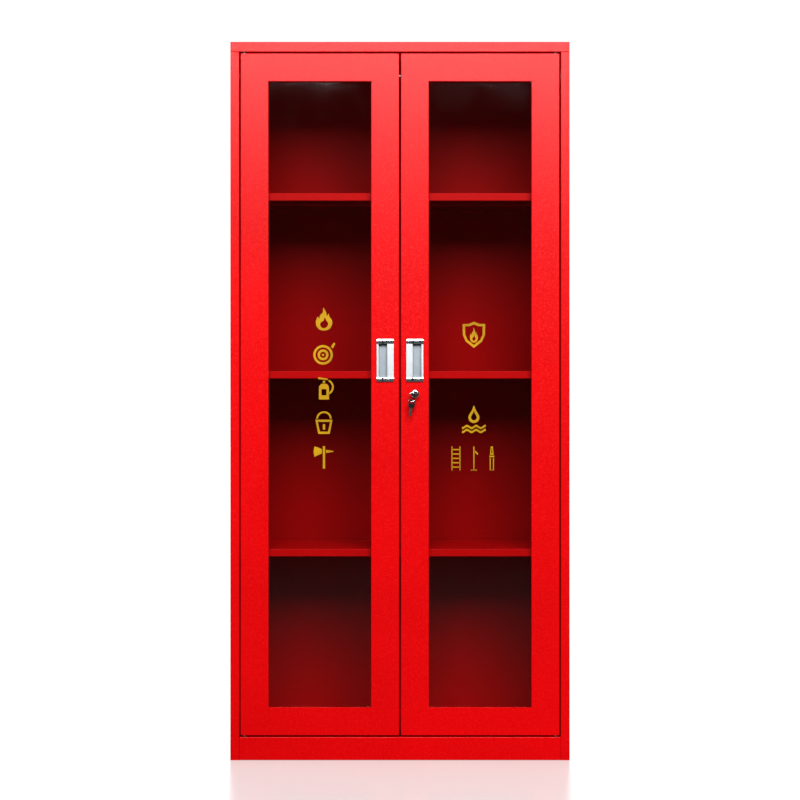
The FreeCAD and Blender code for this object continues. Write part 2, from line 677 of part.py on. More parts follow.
# ---------------------------------------------------------------- doors
def bead_screw_places(side):
    """Along the long beads and the short beads of one door."""
    low_x, low_z, high_x, high_z = window
    inset = size.bead_screw_in
    long_run = [(side * x, low_z + (high_z - low_z) * share)
                for x in (low_x - inset, high_x + inset) for share in (0.02, 0.26, 0.5, 0.74, 0.98)]
    short_run = [(side * (low_x + (high_x - low_x) * share), z)
                 for z in (low_z - inset, high_z + inset) for share in (0.2, 0.8)]
    return long_run + short_run


def pull_x(side, across):
    """x of a point across the pull, measured from its hinge side."""
    return side * (stile_mid + size.pull_w / 2 - across)


def pull_ends():
    """Lower and upper end of the pull's extrusion."""
    return (size.pull_z - size.pull_h / 2 + size.cap_bottom, size.pull_z + size.pull_h / 2 - size.cap_top)


def pull_screw_places(side):
    low, high = pull_ends()
    middle = side * stile_mid
    return [(middle, low - size.pull_screw_in), (middle, high + size.pull_screw_in)]


def pull_body_across():
    """Where the pull's body starts and ends behind the door skin, across the pull."""
    return (size.pull_flange - size.pull_wall, size.pull_inner + size.pull_wall)


def door_frame(name, side):
    """Pressed door: skin, folded edges, rear flange, window reveal and glazing flange."""
    piece = Piece(name)
    piece.pad("XZ", front, skin_rear, box(side, door), box(side, window))
    piece.pad("XZ", front, door_rear, box(side, door), box(side, grown(door, -size.sheet_t)))
    piece.pad("XZ", door_rear - size.sheet_t, door_rear, box(side, door),
              box(side, grown(door, -size.door_return)))
    piece.pad("XZ", front, rebate_rear, box(side, grown(window, size.sheet_t)), box(side, window))
    piece.pad("XZ", rebate_rear - size.sheet_t, rebate_rear, box(side, grown(window, size.rebate_w)),
              box(side, window))
    piece.pocket("XZ", rebate_rear - size.sheet_t, rebate_rear,
                 *holes(bead_screw_places(side), size.bead_screw_r))

    low, high = pull_ends()
    margin = size.cap_plug + size.cut_play
    start, end = pull_body_across()
    cut_out = rectangle(pull_x(side, start - size.cut_play), low - margin,
                        pull_x(side, end + size.cut_play), high + margin)
    piece.pocket("XZ", front, skin_rear, cut_out, *holes(pull_screw_places(side), size.pull_screw_r))
    if side > 0:
        piece.pocket("XZ", front, skin_rear,
                     Circle(stile_mid, size.lock_z, size.barrel_r + size.barrel_play))

    pin_hole = Circle(side * pivot_x, pivot_y, size.pin_r + size.screw_play)
    passages = rod_passages()
    piece.pocket("XY", door[3] - size.sheet_t, door[3], passages["top"][side], pin_hole)
    piece.pocket("XY", door[1], door[1] + size.sheet_t, passages["bottom"][side], pin_hole)


def pivot_pins(name, side):
    """Hinge pins on plates welded inside the door's top and bottom edges."""
    piece = Piece(name)
    plate = centred(side * pivot_x, pivot_y, size.pin_plate_w, size.pin_plate_w)
    pin = Circle(side * pivot_x, pivot_y, size.pin_r)
    top_face = door[3] - size.sheet_t
    low_face = door[1] + size.sheet_t
    piece.pad("XY", top_face - size.pin_plate_t, top_face, plate)
    piece.pad("XY", top_face - size.pin_plate_t, door[3] + size.pin_reach, pin)
    piece.pad("XY", low_face, low_face + size.pin_plate_t, plate)
    piece.pad("XY", door[1] - size.pin_reach, low_face + size.pin_plate_t, pin)
    seat = size.plinth_h + size.bush_flange_t + size.collar_play
    piece.pad("XY", seat, door[1], Circle(side * pivot_x, pivot_y, size.collar_r))


def door_glass(name, side):
    piece = Piece(name)
    piece.pad("XZ", glass_front, glass_rear, box(side, grown(window, size.glass_lap)))


def door_gasket(name, side):
    """Rubber channel that wraps the edge of the glass."""
    piece = Piece(name)
    outer = box(side, grown(window, size.glass_lap + size.gasket_t))
    lip = box(side, grown(window, size.gasket_inset))
    piece.pad("XZ", rebate_rear, glass_front, outer, lip)
    piece.pad("XZ", glass_front, glass_rear, outer, box(side, grown(window, size.glass_lap)))
    piece.pad("XZ", glass_rear, bead_front, outer, lip)


def door_beads(name, side):
    """Four glazing beads of Z section, two long ones between two short ones."""
    piece = Piece(name)
    low_x, low_z, high_x, high_z = window
    steps = ((rebate_rear, size.bead_w), (rebate_rear, size.bead_web),
             (bead_front, size.bead_web), (bead_front, size.bead_lap))
    across = span(side, low_x - size.bead_end, high_x + size.bead_end)
    for edge, outward in ((low_z, -1), (high_z, 1)):
        piece.pad("YZ", *across, folded([(y, edge + outward * away) for y, away in steps], outward))
    for edge, outward in ((low_x, -1), (high_x, 1)):
        path = [(side * (edge + outward * away), y) for y, away in steps]
        ends = size.bead_lap - size.bead_gap
        piece.pad("XY", low_z - ends, high_z + ends, folded(path, -side * outward))
    piece.pocket("XZ", rebate_rear, rebate_rear + size.sheet_t,
                 *holes(bead_screw_places(side), size.bead_screw_r))


def door_bead_screws(name, side):
    piece = Piece(name)
    screws(piece, "XZ", rebate_rear + size.sheet_t, 1, bead_screw_places(side), size.bead_screw_r,
           size.bead_screw_l, size.bead_head_r, size.bead_head_t)


def pull(name, side):
    """Flush pull: an extrusion with a finger recess under a lip, closed by two end caps."""
    low, high = pull_ends()
    start, end = pull_body_across()
    floor_front = front + size.pull_depth - size.pull_wall
    flange_front = front - size.pull_proud
    lip_front = front - size.lip_proud
    lip_rear = lip_front + size.pull_wall
    section = ((zero, front), (zero, flange_front), (size.pull_flange, flange_front),
               (size.pull_flange, floor_front), (size.pull_inner, floor_front),
               (size.pull_inner, lip_rear), (size.pull_mouth + size.pull_wall, lip_rear),
               (size.pull_mouth + size.pull_wall, lip_rear + size.lip_hook),
               (size.pull_mouth, lip_rear + size.lip_hook), (size.pull_mouth, lip_front),
               (size.pull_w, lip_front), (size.pull_w, front), (end, front),
               (end, front + size.pull_depth), (start, front + size.pull_depth), (start, front))
    profile = Piece(f"{name}_profile")
    profile.pad("XY", low, high, Polygon([(pull_x(side, across), y) for across, y in section]))

    caps = Piece(f"{name}_end_caps")
    face = front - size.cap_proud
    for inner, outward, length in ((low, -1, size.cap_bottom), (high, 1, size.cap_top)):
        outer = inner + outward * length
        caps.pad("XZ", face, front, rectangle(pull_x(side, zero), inner, pull_x(side, size.pull_w), outer))
        caps.pad("XZ", front, front + size.pull_depth,
                 rectangle(pull_x(side, start), inner, pull_x(side, end), inner + outward * size.cap_plug))
    scoop_x = side * stile_mid - size.pull_w / 2 + size.cap_scoop_x
    caps.pocket("XZ", face, face + size.cap_scoop_d,
                Circle(scoop_x, low - size.cap_scoop_in, size.cap_scoop_r),
                Circle(scoop_x, high + size.cap_scoop_in, size.cap_scoop_r))
    caps.pocket("XZ", front - size.pull_screw_l + size.clamp_t + size.sheet_t, front,
                *holes(pull_screw_places(side), size.pull_screw_r))
    outside = (size.pull_z - size.pull_h / 2, size.pull_z + size.pull_h / 2)
    caps.round_edges(size.cap_round, lambda edge: is_cap_corner(edge, outside))

    clamps = Piece(f"{name}_clamps")
    left = pull_x(side, -size.clamp_over)
    right = pull_x(side, size.pull_w + size.clamp_over)
    for inner, outward in ((low, -1), (high, 1)):
        near = inner + outward * (size.cap_plug + size.cut_play)
        clamps.pad("XZ", skin_rear, skin_rear + size.clamp_t,
                   rectangle(left, near, right, near + outward * size.clamp_w))
    clamps.pocket("XZ", skin_rear, skin_rear + size.clamp_t,
                  *holes(pull_screw_places(side), size.pull_screw_r))

    fixings = Piece(f"{name}_screws")
    screws(fixings, "XZ", skin_rear + size.clamp_t, 1, pull_screw_places(side), size.pull_screw_r,
           size.pull_screw_l, size.pull_head_r, size.pull_head_t)


def is_cap_corner(edge, outside):
    """The two corners of an end cap at its outer end."""
    at_end = any(abs(edge.BoundBox.Center.z - level.value) < 0.01 for level in outside)
    return at_end and edge.BoundBox.YLength > 1


# ---------------------------------------------------------------- lock and rods, right door
CAM_REST_TURN = 45.0
HUB_SHARE = 0.75


def lock():
    x, z = stile_mid, size.lock_z
    face = front - size.lock_proud
    rear = front + size.barrel_l
    cam_front = front + size.cam_back
    cam_rear = cam_front + size.cam_t
    bore = Circle(x, z, size.plug_r + size.pin_play)

    barrel = Piece("lock_barrel")
    barrel.pad("XZ", face, front, Circle(x, z, size.lock_face_r), bore)
    barrel.pad("XZ", front, rear, Circle(x, z, size.barrel_r), bore)

    nut = Piece("lock_nut")
    nut.pad("XZ", skin_rear, skin_rear + size.nut_t, hexagon(x, z, size.nut_flats),
            Circle(x, z, size.barrel_r + size.pin_play))

    plug_front = face - size.plug_proud
    plug = Piece("lock_plug")
    plug.pad("XZ", plug_front, rear, Circle(x, z, size.plug_r))
    plug.pad("XZ", rear, cam_rear, Circle(x, z, size.stub_r))
    plug.pocket("XZ", plug_front, plug_front + size.keyway_l,
                centred(x, z, size.blade_w + size.key_play * 2, size.blade_t + size.key_play * 2))
    plug.pocket("XZ", cam_rear - size.cam_screw_l, cam_rear,
                Circle(x, z, size.cam_screw_r + size.pin_play))

    screw = Piece("lock_cam_screw")
    screws(screw, "XZ", cam_rear, 1, [(x, z)], size.cam_screw_r, size.cam_screw_l, size.cam_head_r,
           size.cam_head_t)

    cam = Piece("lock_cam")
    ends = (-size.crank_r, size.crank_r)
    cam.pad("XZ", cam_front, cam_rear, centred(zero, zero, size.crank_r * 2, size.cam_w))
    for end in ends:
        cam.pad("XZ", cam_front, cam_rear, Circle(end, zero, size.cam_w / 2))
    cam.pad("XZ", cam_front, cam_rear, Circle(zero, zero, size.cam_w * HUB_SHARE))
    for end in ends:
        cam.pad("XZ", cam_front - size.crank_pin_l, cam_front, Circle(end, zero, size.crank_pin_r))
    cam.pocket("XZ", cam_front, cam_rear, Circle(zero, zero, size.stub_r + size.pin_play))
    cam.body.Placement.Rotation = FreeCAD.Rotation(FreeCAD.Vector(0, 1, 0), CAM_REST_TURN)
    cam.place(x=x, z=z)


def lock_rod(name, up):
    """Flat rod with a slotted head that a cam pin lifts; up is 1 for the upper rod, -1 for the lower."""
    piece = Piece(name)
    x = stile_mid + up * size.rod_off
    pin_z = size.lock_z - up * size.crank_r * math.sin(math.radians(CAM_REST_TURN))
    end = door[3] - size.rod_rest if up > 0 else door[1] + size.rod_rest
    rod_low, rod_high = (pin_z, end) if up > 0 else (end, pin_z)
    piece.pad("XZ", rod_front, rod_rear,
              rectangle(x - size.rod_w / 2, rod_low, x + size.rod_w / 2, rod_high))
    piece.pad("XZ", rod_front, rod_rear, centred(x, pin_z, size.rod_head_w, size.rod_head_h))
    piece.pocket("XZ", rod_front, rod_rear, centred(x, pin_z, size.rod_slot_w, size.rod_slot_h))


def rod_guides():
    """Nylon blocks that stand on the door skin beside the glazing flange."""
    piece = Piece("rod_guides")
    half = size.rod_w / 2 + size.guide_play + size.guide_wall
    for up in (1, -1):
        x = stile_mid + up * size.rod_off
        section = rectangle(x - half, skin_rear, x + half, door_rear)
        end = door[3] - size.guide_end if up > 0 else door[1] + size.guide_end
        for start in (end - up * size.guide_h, size.lock_z + up * size.guide_near):
            low, high = (start, start + size.guide_h) if up > 0 else (start - size.guide_h, start)
            piece.pad("XY", low, high, section)
            piece.pocket("XY", low, high,
                         centred(x, rod_front + size.rod_t / 2, size.rod_w + size.guide_play * 2,
                                 size.rod_t + size.guide_play * 2))


# ---------------------------------------------------------------- slide bolts, left door
def slide_bolts():
    x = -stile_mid
    housings = Piece("left_bolt_housings")
    for name, up, end in (("left_bolt_upper", 1, door[3]), ("left_bolt_lower", -1, door[1])):
        outer = end - up * size.housing_in
        low, high = (outer - size.housing_h, outer) if up > 0 else (outer, outer + size.housing_h)
        housings.pad("XY", low, high, rectangle(x - size.housing_w / 2, skin_rear,
                                                x + size.housing_w / 2, door_rear))
        housings.pocket("XY", low, high,
                        centred(x, bolt_front + size.bolt_t / 2, size.bolt_w + size.guide_play * 2,
                                size.bolt_t + size.guide_play * 2))
        bolt = Piece(name)
        tip = end - up * size.bolt_rest
        low, high = (tip - size.bolt_l, tip) if up > 0 else (tip, tip + size.bolt_l)
        bolt.pad("XZ", bolt_front, bolt_rear, rectangle(x - size.bolt_w / 2, low, x + size.bolt_w / 2, high))
        knob_z = tip - up * (size.bolt_l - size.knob_in)
        bolt.pad("XZ", bolt_rear, bolt_rear + size.knob_l, Circle(x, knob_z, size.knob_r))


# ---------------------------------------------------------------- keys
SPARE_TURN = 37.0
SPARE_TILT = 8.0


def key(prefix, shoulder, rotation):
    """Key along y: the blade runs to +y from its shoulder, the bow to -y."""
    blade = Piece(f"{prefix}_blade")
    half = size.blade_w / 2
    point = size.blade_l - half
    blade.pad("XY", -size.blade_t / 2, size.blade_t / 2,
              Polygon([(-half, zero), (half, zero), (half, point), (size.blade_t / 2, size.blade_l),
                       (-size.blade_t / 2, size.blade_l), (-half, point)]))
    notches = []
    for share in (0.25, 0.45, 0.65):
        middle = size.blade_l * share
        notches.append(Polygon([(half, middle - size.blade_cut), (half - size.blade_cut, middle),
                                (half, middle + size.blade_cut)]))
    blade.pocket("XY", -size.blade_t / 2, size.blade_t / 2, *notches)

    bow = Piece(f"{prefix}_bow")
    bow.pad("XY", -size.bow_t / 2, size.bow_t / 2,
            rectangle(-size.bow_w / 2, -size.bow_l, size.bow_w / 2, zero))
    bow.round_edges(size.bow_corner, lambda edge: edge.BoundBox.ZLength > 1)
    slot = centred(zero, -size.bow_slot_in, size.bow_slot_w, size.bow_slot_h)
    bow.pocket("XY", -size.bow_t / 2, size.bow_t / 2, slot)
    bow.round_edges(size.slot_corner, is_slot_corner)
    bow.round_edges(size.bow_edge, lambda edge: edge.BoundBox.ZLength < 0.01)
    for piece in (blade, bow):
        piece.body.Placement.Rotation = rotation
        piece.place(*shoulder)


def is_slot_corner(edge):
    """The four upright edges inside the slot of a key bow."""
    middle = edge.BoundBox.Center
    off_x = abs(abs(middle.x) - size.bow_slot_w.value / 2)
    off_y = abs(abs(middle.y + size.bow_slot_in.value) - size.bow_slot_h.value / 2)
    return off_x < 0.01 and off_y < 0.01 and edge.BoundBox.ZLength > 1


def keys_and_ring():
    """One key in the lock; the ring hangs on one side of its slot, and the spare key on the ring."""
    shoulder_y = front - size.lock_proud - size.plug_proud - size.key_stand
    key("key", (stile_mid, shoulder_y, size.lock_z), FreeCAD.Rotation())

    ring_x = stile_mid - (size.bow_w + size.bow_slot_w) / 4
    ring_y = shoulder_y - size.bow_slot_in
    ring_z = size.lock_z - (size.ring_r - size.ring_wire_r - size.bow_t / 2 - size.ring_play)
    ring = doc.addObject("Part::Torus", "key_ring")
    ring.Label = "key_ring"
    ring.setExpression("Radius1", size.ring_r.text)
    ring.setExpression("Radius2", size.ring_wire_r.text)
    ring.Placement.Rotation = FreeCAD.Rotation(FreeCAD.Vector(1, 0, 0), 90)
    for axis, dim in (("x", ring_x), ("y", ring_y), ("z", ring_z)):
        ring.setExpression(f"Placement.Base.{axis}", dim.text)
    pieces.append(ring)

    down = FreeCAD.Rotation(FreeCAD.Vector(1, 0, 0), -90)
    turn = FreeCAD.Rotation(FreeCAD.Vector(0, 0, 1), SPARE_TURN)
    tilt = FreeCAD.Rotation(FreeCAD.Vector(0, 1, 0), SPARE_TILT)
    rotation = tilt.multiply(turn).multiply(down)
    hook = size.bow_slot_in + size.bow_slot_h / 2 - size.ring_wire_r - size.spare_play
    along = rotation.multVec(FreeCAD.Vector(0, 1, 0))
    shoulder = (ring_x + hook * along.x, ring_y + hook * along.y, ring_z - size.ring_r + hook * along.z)
    key("spare_key", shoulder, rotation)


# ---------------------------------------------------------------- marks on the glass
def decals():
    """Plain geometric marks cut from vinyl, on the front of each glass."""
    behind = (glass_front - size.mark_t, glass_front)
    window_mid = (window[0] + window[2]) / 2
    left = Piece("decals_left")
    x = -(window_mid - size.left_mark_in)
    for step in (-2, -1, 0, 1, 2):
        z = size.left_mark_z + step * size.left_mark_pitch
        left.pad("XZ", *behind, centred(x, z, size.left_mark_size, size.left_mark_size),
                 Circle(x, z, size.left_mark_size * 0.3))
    right = Piece("decals_right")
    x = window_mid - size.right_mark_in
    for step in (0, 1):
        z = size.right_mark_z + step * size.right_mark_pitch
        right.pad("XZ", *behind, centred(x, z, size.right_mark_size, size.right_mark_size),
                  Circle(x, z, size.right_mark_size * 0.3))
    for step in (-1, 0, 1):
        right.pad("XZ", *behind, centred(x + step * size.small_mark_pitch, size.small_mark_z,
                                         size.small_mark_w, size.small_mark_h))


# ---------------------------------------------------------------- the assembly
for word, side in SIDES.items():
    side_panel(f"side_panel_{word}", side)
    for row, low_y in upright_rows().items():
        upright(f"shelf_upright_{row}_{word}", side, low_y)
top_panel()
bottom_panel()
back_panel()
carcass_screws()
for level, name in enumerate(SHELVES):
    shelf(name, level)
shelf_ribs()
shelf_clips()
pivot_bushes()
door_bumpers()
for word, side in SIDES.items():
    door_frame(f"door_{word}_frame", side)
    pivot_pins(f"door_{word}_pivot_pins", side)
    door_glass(f"door_{word}_glass", side)
    door_gasket(f"door_{word}_gasket", side)
    door_beads(f"door_{word}_beads", side)
    door_bead_screws(f"door_{word}_bead_screws", side)
    pull(f"pull_{word}", side)
lock()
lock_rod("lock_rod_upper", 1)
lock_rod("lock_rod_lower", -1)
rod_guides()
slide_bolts()
keys_and_ring()
decals()
doc.recompute()

# ---------------------------------------------------------------- checks, then the files
faults = [item.Name for item in doc.Objects if "Invalid" in item.State or "Error" in item.State]
for item in doc.Objects:
    if item.TypeId == "PartDesign::Pocket" and item.Shape.Volume >= item.BaseFeature.Shape.Volume - 0.001:
        faults.append(f"{item.Name} cuts nothing")
for piece in pieces:
    if piece.Shape.isNull() or not piece.Shape.isValid() or not piece.Shape.Solids:
        faults.append(f"{piece.Label} has no valid solid")
if faults:
    raise RuntimeError("; ".join(faults))

os.makedirs("parts", exist_ok=True)
for piece in pieces:
    piece.Shape.exportStep(f"parts/{piece.Label}.step")
print(f"{len(pieces)} sub-parts written")
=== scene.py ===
import json
import math

import bmesh
import bpy
from mathutils import Matrix, Vector

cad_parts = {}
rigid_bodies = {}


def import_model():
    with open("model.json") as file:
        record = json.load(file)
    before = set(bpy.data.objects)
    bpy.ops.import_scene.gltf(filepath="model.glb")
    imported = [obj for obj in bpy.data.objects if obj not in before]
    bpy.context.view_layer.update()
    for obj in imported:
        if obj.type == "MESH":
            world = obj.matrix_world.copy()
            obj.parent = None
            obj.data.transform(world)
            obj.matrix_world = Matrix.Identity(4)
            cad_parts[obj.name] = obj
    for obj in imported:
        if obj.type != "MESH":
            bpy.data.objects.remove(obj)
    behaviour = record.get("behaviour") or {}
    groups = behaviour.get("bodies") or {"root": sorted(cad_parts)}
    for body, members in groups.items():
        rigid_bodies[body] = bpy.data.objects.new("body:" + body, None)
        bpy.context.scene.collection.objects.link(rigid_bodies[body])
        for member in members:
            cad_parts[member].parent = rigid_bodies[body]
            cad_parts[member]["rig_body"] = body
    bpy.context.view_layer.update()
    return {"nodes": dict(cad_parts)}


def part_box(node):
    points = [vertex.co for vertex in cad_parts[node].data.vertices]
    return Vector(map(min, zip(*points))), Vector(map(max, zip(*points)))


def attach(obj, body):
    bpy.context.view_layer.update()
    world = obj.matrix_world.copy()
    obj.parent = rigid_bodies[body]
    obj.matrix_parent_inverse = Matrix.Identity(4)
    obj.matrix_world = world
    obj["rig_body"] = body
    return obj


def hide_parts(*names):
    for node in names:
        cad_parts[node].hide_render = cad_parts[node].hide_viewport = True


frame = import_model()
nodes = frame["nodes"]
MM = 0.001
MERGE = 1e-6  # points closer than this are one point

# The camera that matches the photograph: square on, at half the cabinet's height
EYE = (0.0, -5.495, 0.9025)
LENS_MM = 95.2
SENSOR_MM = 36.0


# ---------------------------------------------------------------- camera, lights, floor
def look_at(obj, target):
    obj.rotation_euler = (Vector(target) - obj.location).to_track_quat("-Z", "Y").to_euler()


def camera():
    data = bpy.data.cameras.new("camera")
    data.lens = LENS_MM
    data.sensor_width = SENSOR_MM
    data.clip_end = 200.0
    obj = bpy.data.objects.new("camera", data)
    obj.location = EYE
    look_at(obj, (0.0, 0.0, EYE[2]))
    bpy.context.scene.collection.objects.link(obj)
    bpy.context.scene.camera = obj


def softbox(name, location, target, width, height, power):
    data = bpy.data.lights.new(name, "AREA")
    data.shape = "RECTANGLE"
    data.size = width
    data.size_y = height
    data.energy = power
    obj = bpy.data.objects.new(name, data)
    obj.location = location
    look_at(obj, target)
    obj.visible_camera = False
    bpy.context.scene.collection.objects.link(obj)


def studio_world():
    """Bright behind and above the object, dim on the camera's side, white to the camera itself."""
    world = bpy.data.worlds.new("studio")
    bpy.context.scene.world = world
    world.use_nodes = True
    tree = world.node_tree
    tree.nodes.clear()
    coords = tree.nodes.new("ShaderNodeTexCoord")
    split = tree.nodes.new("ShaderNodeSeparateXYZ")
    ramp = tree.nodes.new("ShaderNodeMapRange")
    ramp.inputs["From Min"].default_value = -0.35
    ramp.inputs["From Max"].default_value = 0.5
    ramp.inputs["To Min"].default_value = 0.02
    ramp.inputs["To Max"].default_value = 1.3
    lit = tree.nodes.new("ShaderNodeBackground")
    seen = tree.nodes.new("ShaderNodeBackground")
    seen.inputs["Strength"].default_value = 1.05
    seen.inputs["Color"].default_value = (1.0, 1.0, 1.0, 1.0)
    lit.inputs["Color"].default_value = (1.0, 1.0, 1.0, 1.0)
    path = tree.nodes.new("ShaderNodeLightPath")
    mix = tree.nodes.new("ShaderNodeMixShader")
    out = tree.nodes.new("ShaderNodeOutputWorld")
    link = tree.links.new
    link(coords.outputs["Generated"], split.inputs[0])
    link(split.outputs["Y"], ramp.inputs["Value"])
    link(ramp.outputs["Result"], lit.inputs["Strength"])
    link(path.outputs["Is Camera Ray"], mix.inputs[0])
    link(lit.outputs[0], mix.inputs[1])
    link(seen.outputs[0], mix.inputs[2])
    link(mix.outputs[0], out.inputs["Surface"])


camera()
studio_world()
softbox("key", (0.5, -5.2, 3.9), (0.0, -0.2, 1.0), 4.2, 3.0, 580.0)
bpy.context.scene.view_settings.view_transform = "Standard"


# ---------------------------------------------------------------- materials
RECESS_PAINTED_SHADE = (0.52, 0.56, 0.60)  # painted shade: the share of its colour that a pull's recess keeps
OUTER_RED = (0.62, 0.0006, 0.0015)  # the back panel's outer face, in plain red; the inner face carries red_shadow's painted shade
BACK_SKIN_MIDDLE = 0.1939  # half-way through the back panel's sheet
STEP = 0.0001
PULL_RECESS = (-0.1965, -0.1885)  # from just proud of the door skin to the recess's floor, the span of the pulls' painted shade


def new_material(name):
    made = bpy.data.materials.new(name)
    made.use_nodes = True
    return made, made.node_tree, made.node_tree.nodes["Principled BSDF"]


def noise(tree, scale, detail=2.0, stretch=(1.0, 1.0, 1.0)):
    """Noise in the object's own coordinates."""
    coords = tree.nodes.new("ShaderNodeTexCoord")
    mapping = tree.nodes.new("ShaderNodeMapping")
    mapping.inputs["Scale"].default_value = stretch
    texture = tree.nodes.new("ShaderNodeTexNoise")
    texture.inputs["Scale"].default_value = scale
    texture.inputs["Detail"].default_value = detail
    tree.links.new(coords.outputs["Object"], mapping.inputs["Vector"])
    tree.links.new(mapping.outputs["Vector"], texture.inputs["Vector"])
    return texture.outputs["Fac"]


def spread(tree, value, low, high, start=0.3, end=0.7):
    """A noise value brought into low...high."""
    ramp = tree.nodes.new("ShaderNodeMapRange")
    ramp.inputs["From Min"].default_value = start
    ramp.inputs["From Max"].default_value = end
    ramp.inputs["To Min"].default_value = low
    ramp.inputs["To Max"].default_value = high
    tree.links.new(value, ramp.inputs["Value"])
    return ramp.outputs["Result"]


def tinted(tree, factor, dark, light):
    mix = tree.nodes.new("ShaderNodeMix")
    mix.data_type = "RGBA"
    mix.inputs[6].default_value = (*dark, 1.0)
    mix.inputs[7].default_value = (*light, 1.0)
    tree.links.new(factor, mix.inputs[0])
    return mix.outputs[2]


def along_y(tree, start, end):
    """0 up to the plane y = start and 1 from y = end, in the object's own coordinates."""
    coords = tree.nodes.new("ShaderNodeTexCoord")
    split = tree.nodes.new("ShaderNodeSeparateXYZ")
    tree.links.new(coords.outputs["Object"], split.inputs[0])
    return spread(tree, split.outputs["Y"], 0.0, 1.0, start, end)


def blended(tree, factor, colour, other, mode="MIX"):
    """A colour output with a fixed colour mixed into it."""
    mix = tree.nodes.new("ShaderNodeMix")
    mix.data_type = "RGBA"
    mix.blend_type = mode
    mix.inputs[7].default_value = (*other, 1.0)
    tree.links.new(factor, mix.inputs[0])
    tree.links.new(colour, mix.inputs[6])
    return mix.outputs[2]


def bump(tree, bsdf, height, strength, distance):
    node = tree.nodes.new("ShaderNodeBump")
    node.inputs["Strength"].default_value = strength
    node.inputs["Distance"].default_value = distance
    tree.links.new(height, node.inputs["Height"])
    tree.links.new(node.outputs["Normal"], bsdf.inputs["Normal"])


def surface(name, dark, light, rough, metallic=0.0, patch=7.0, grain=600.0, grain_depth=0.00005,
            grain_strength=0.3, stretch=(1.0, 1.0, 1.0), shine=0.5, shade_span=None):
    """One finish: slow colour patches, a fine grain, and roughness that follows the grain.

    With a span of y given, the colour is darkened from the first y to the second: painted shade in a recess."""
    made, tree, bsdf = new_material(name)
    patches = spread(tree, noise(tree, patch, 3.0), 0.0, 1.0)
    grains = noise(tree, grain, 2.0, stretch)
    colour = tinted(tree, patches, dark, light)
    if shade_span:
        # Painted shade: the colour darkened towards the recess's floor
        colour = blended(tree, along_y(tree, *shade_span), colour, RECESS_PAINTED_SHADE, "MULTIPLY")
    tree.links.new(colour, bsdf.inputs["Base Color"])
    tree.links.new(spread(tree, grains, *rough), bsdf.inputs["Roughness"])
    bsdf.inputs["Metallic"].default_value = metallic
    bsdf.inputs["Specular IOR Level"].default_value = shine
    bump(tree, bsdf, grains, grain_strength, grain_depth)
    return made


def powder_coat(name, dark, light, rough, shine, rear=None):
    """Powder coat: an orange peel of two sizes, and a speckle in the colour that follows it.

    Beyond the plane y = rear, on the carcass's outer face, the coat takes the plain outer red; short of it
    the given colours stand, which for red_shadow are painted shade."""
    made, tree, bsdf = new_material(name)
    patches = spread(tree, noise(tree, 3.5, 3.0), 0.0, 0.55)
    peel = noise(tree, 300.0, 1.5)
    fine = noise(tree, 1300.0, 1.0)
    both = tree.nodes.new("ShaderNodeMath")
    both.operation = "MULTIPLY_ADD"
    both.inputs[1].default_value = 0.35
    tree.links.new(fine, both.inputs[0])
    tree.links.new(peel, both.inputs[2])
    speckle = tree.nodes.new("ShaderNodeMath")
    speckle.operation = "ADD"
    tree.links.new(spread(tree, peel, 0.0, 0.45), speckle.inputs[0])
    tree.links.new(patches, speckle.inputs[1])
    colour = tinted(tree, speckle.outputs[0], dark, light)
    if rear:
        # Painted shade: the darker given colours short of the plane, the plain outer red beyond it
        colour = blended(tree, along_y(tree, rear - STEP, rear + STEP), colour, OUTER_RED)
    tree.links.new(colour, bsdf.inputs["Base Color"])
    tree.links.new(spread(tree, peel, *rough), bsdf.inputs["Roughness"])
    bsdf.inputs["Specular IOR Level"].default_value = shine
    bump(tree, bsdf, both.outputs[0], 0.45, 0.0003)
    return made


def pane():
    """Clear float glass: lets light through, and mirrors more at a slant."""
    made, tree, bsdf = new_material("glass")
    tree.nodes.remove(bsdf)
    clear = tree.nodes.new("ShaderNodeBsdfTransparent")
    clear.inputs["Color"].default_value = (0.93, 0.955, 0.945, 1.0)
    gloss = tree.nodes.new("ShaderNodeBsdfGlossy")
    gloss.inputs["Color"].default_value = (1.0, 1.0, 1.0, 1.0)
    tree.links.new(spread(tree, noise(tree, 14.0, 2.0), 0.015, 0.05), gloss.inputs["Roughness"])
    edge = tree.nodes.new("ShaderNodeFresnel")
    edge.inputs["IOR"].default_value = 1.3
    mix = tree.nodes.new("ShaderNodeMixShader")
    tree.links.new(edge.outputs[0], mix.inputs[0])
    tree.links.new(clear.outputs[0], mix.inputs[1])
    tree.links.new(gloss.outputs[0], mix.inputs[2])
    tree.links.new(mix.outputs[0], tree.nodes["Material Output"].inputs["Surface"])
    return made


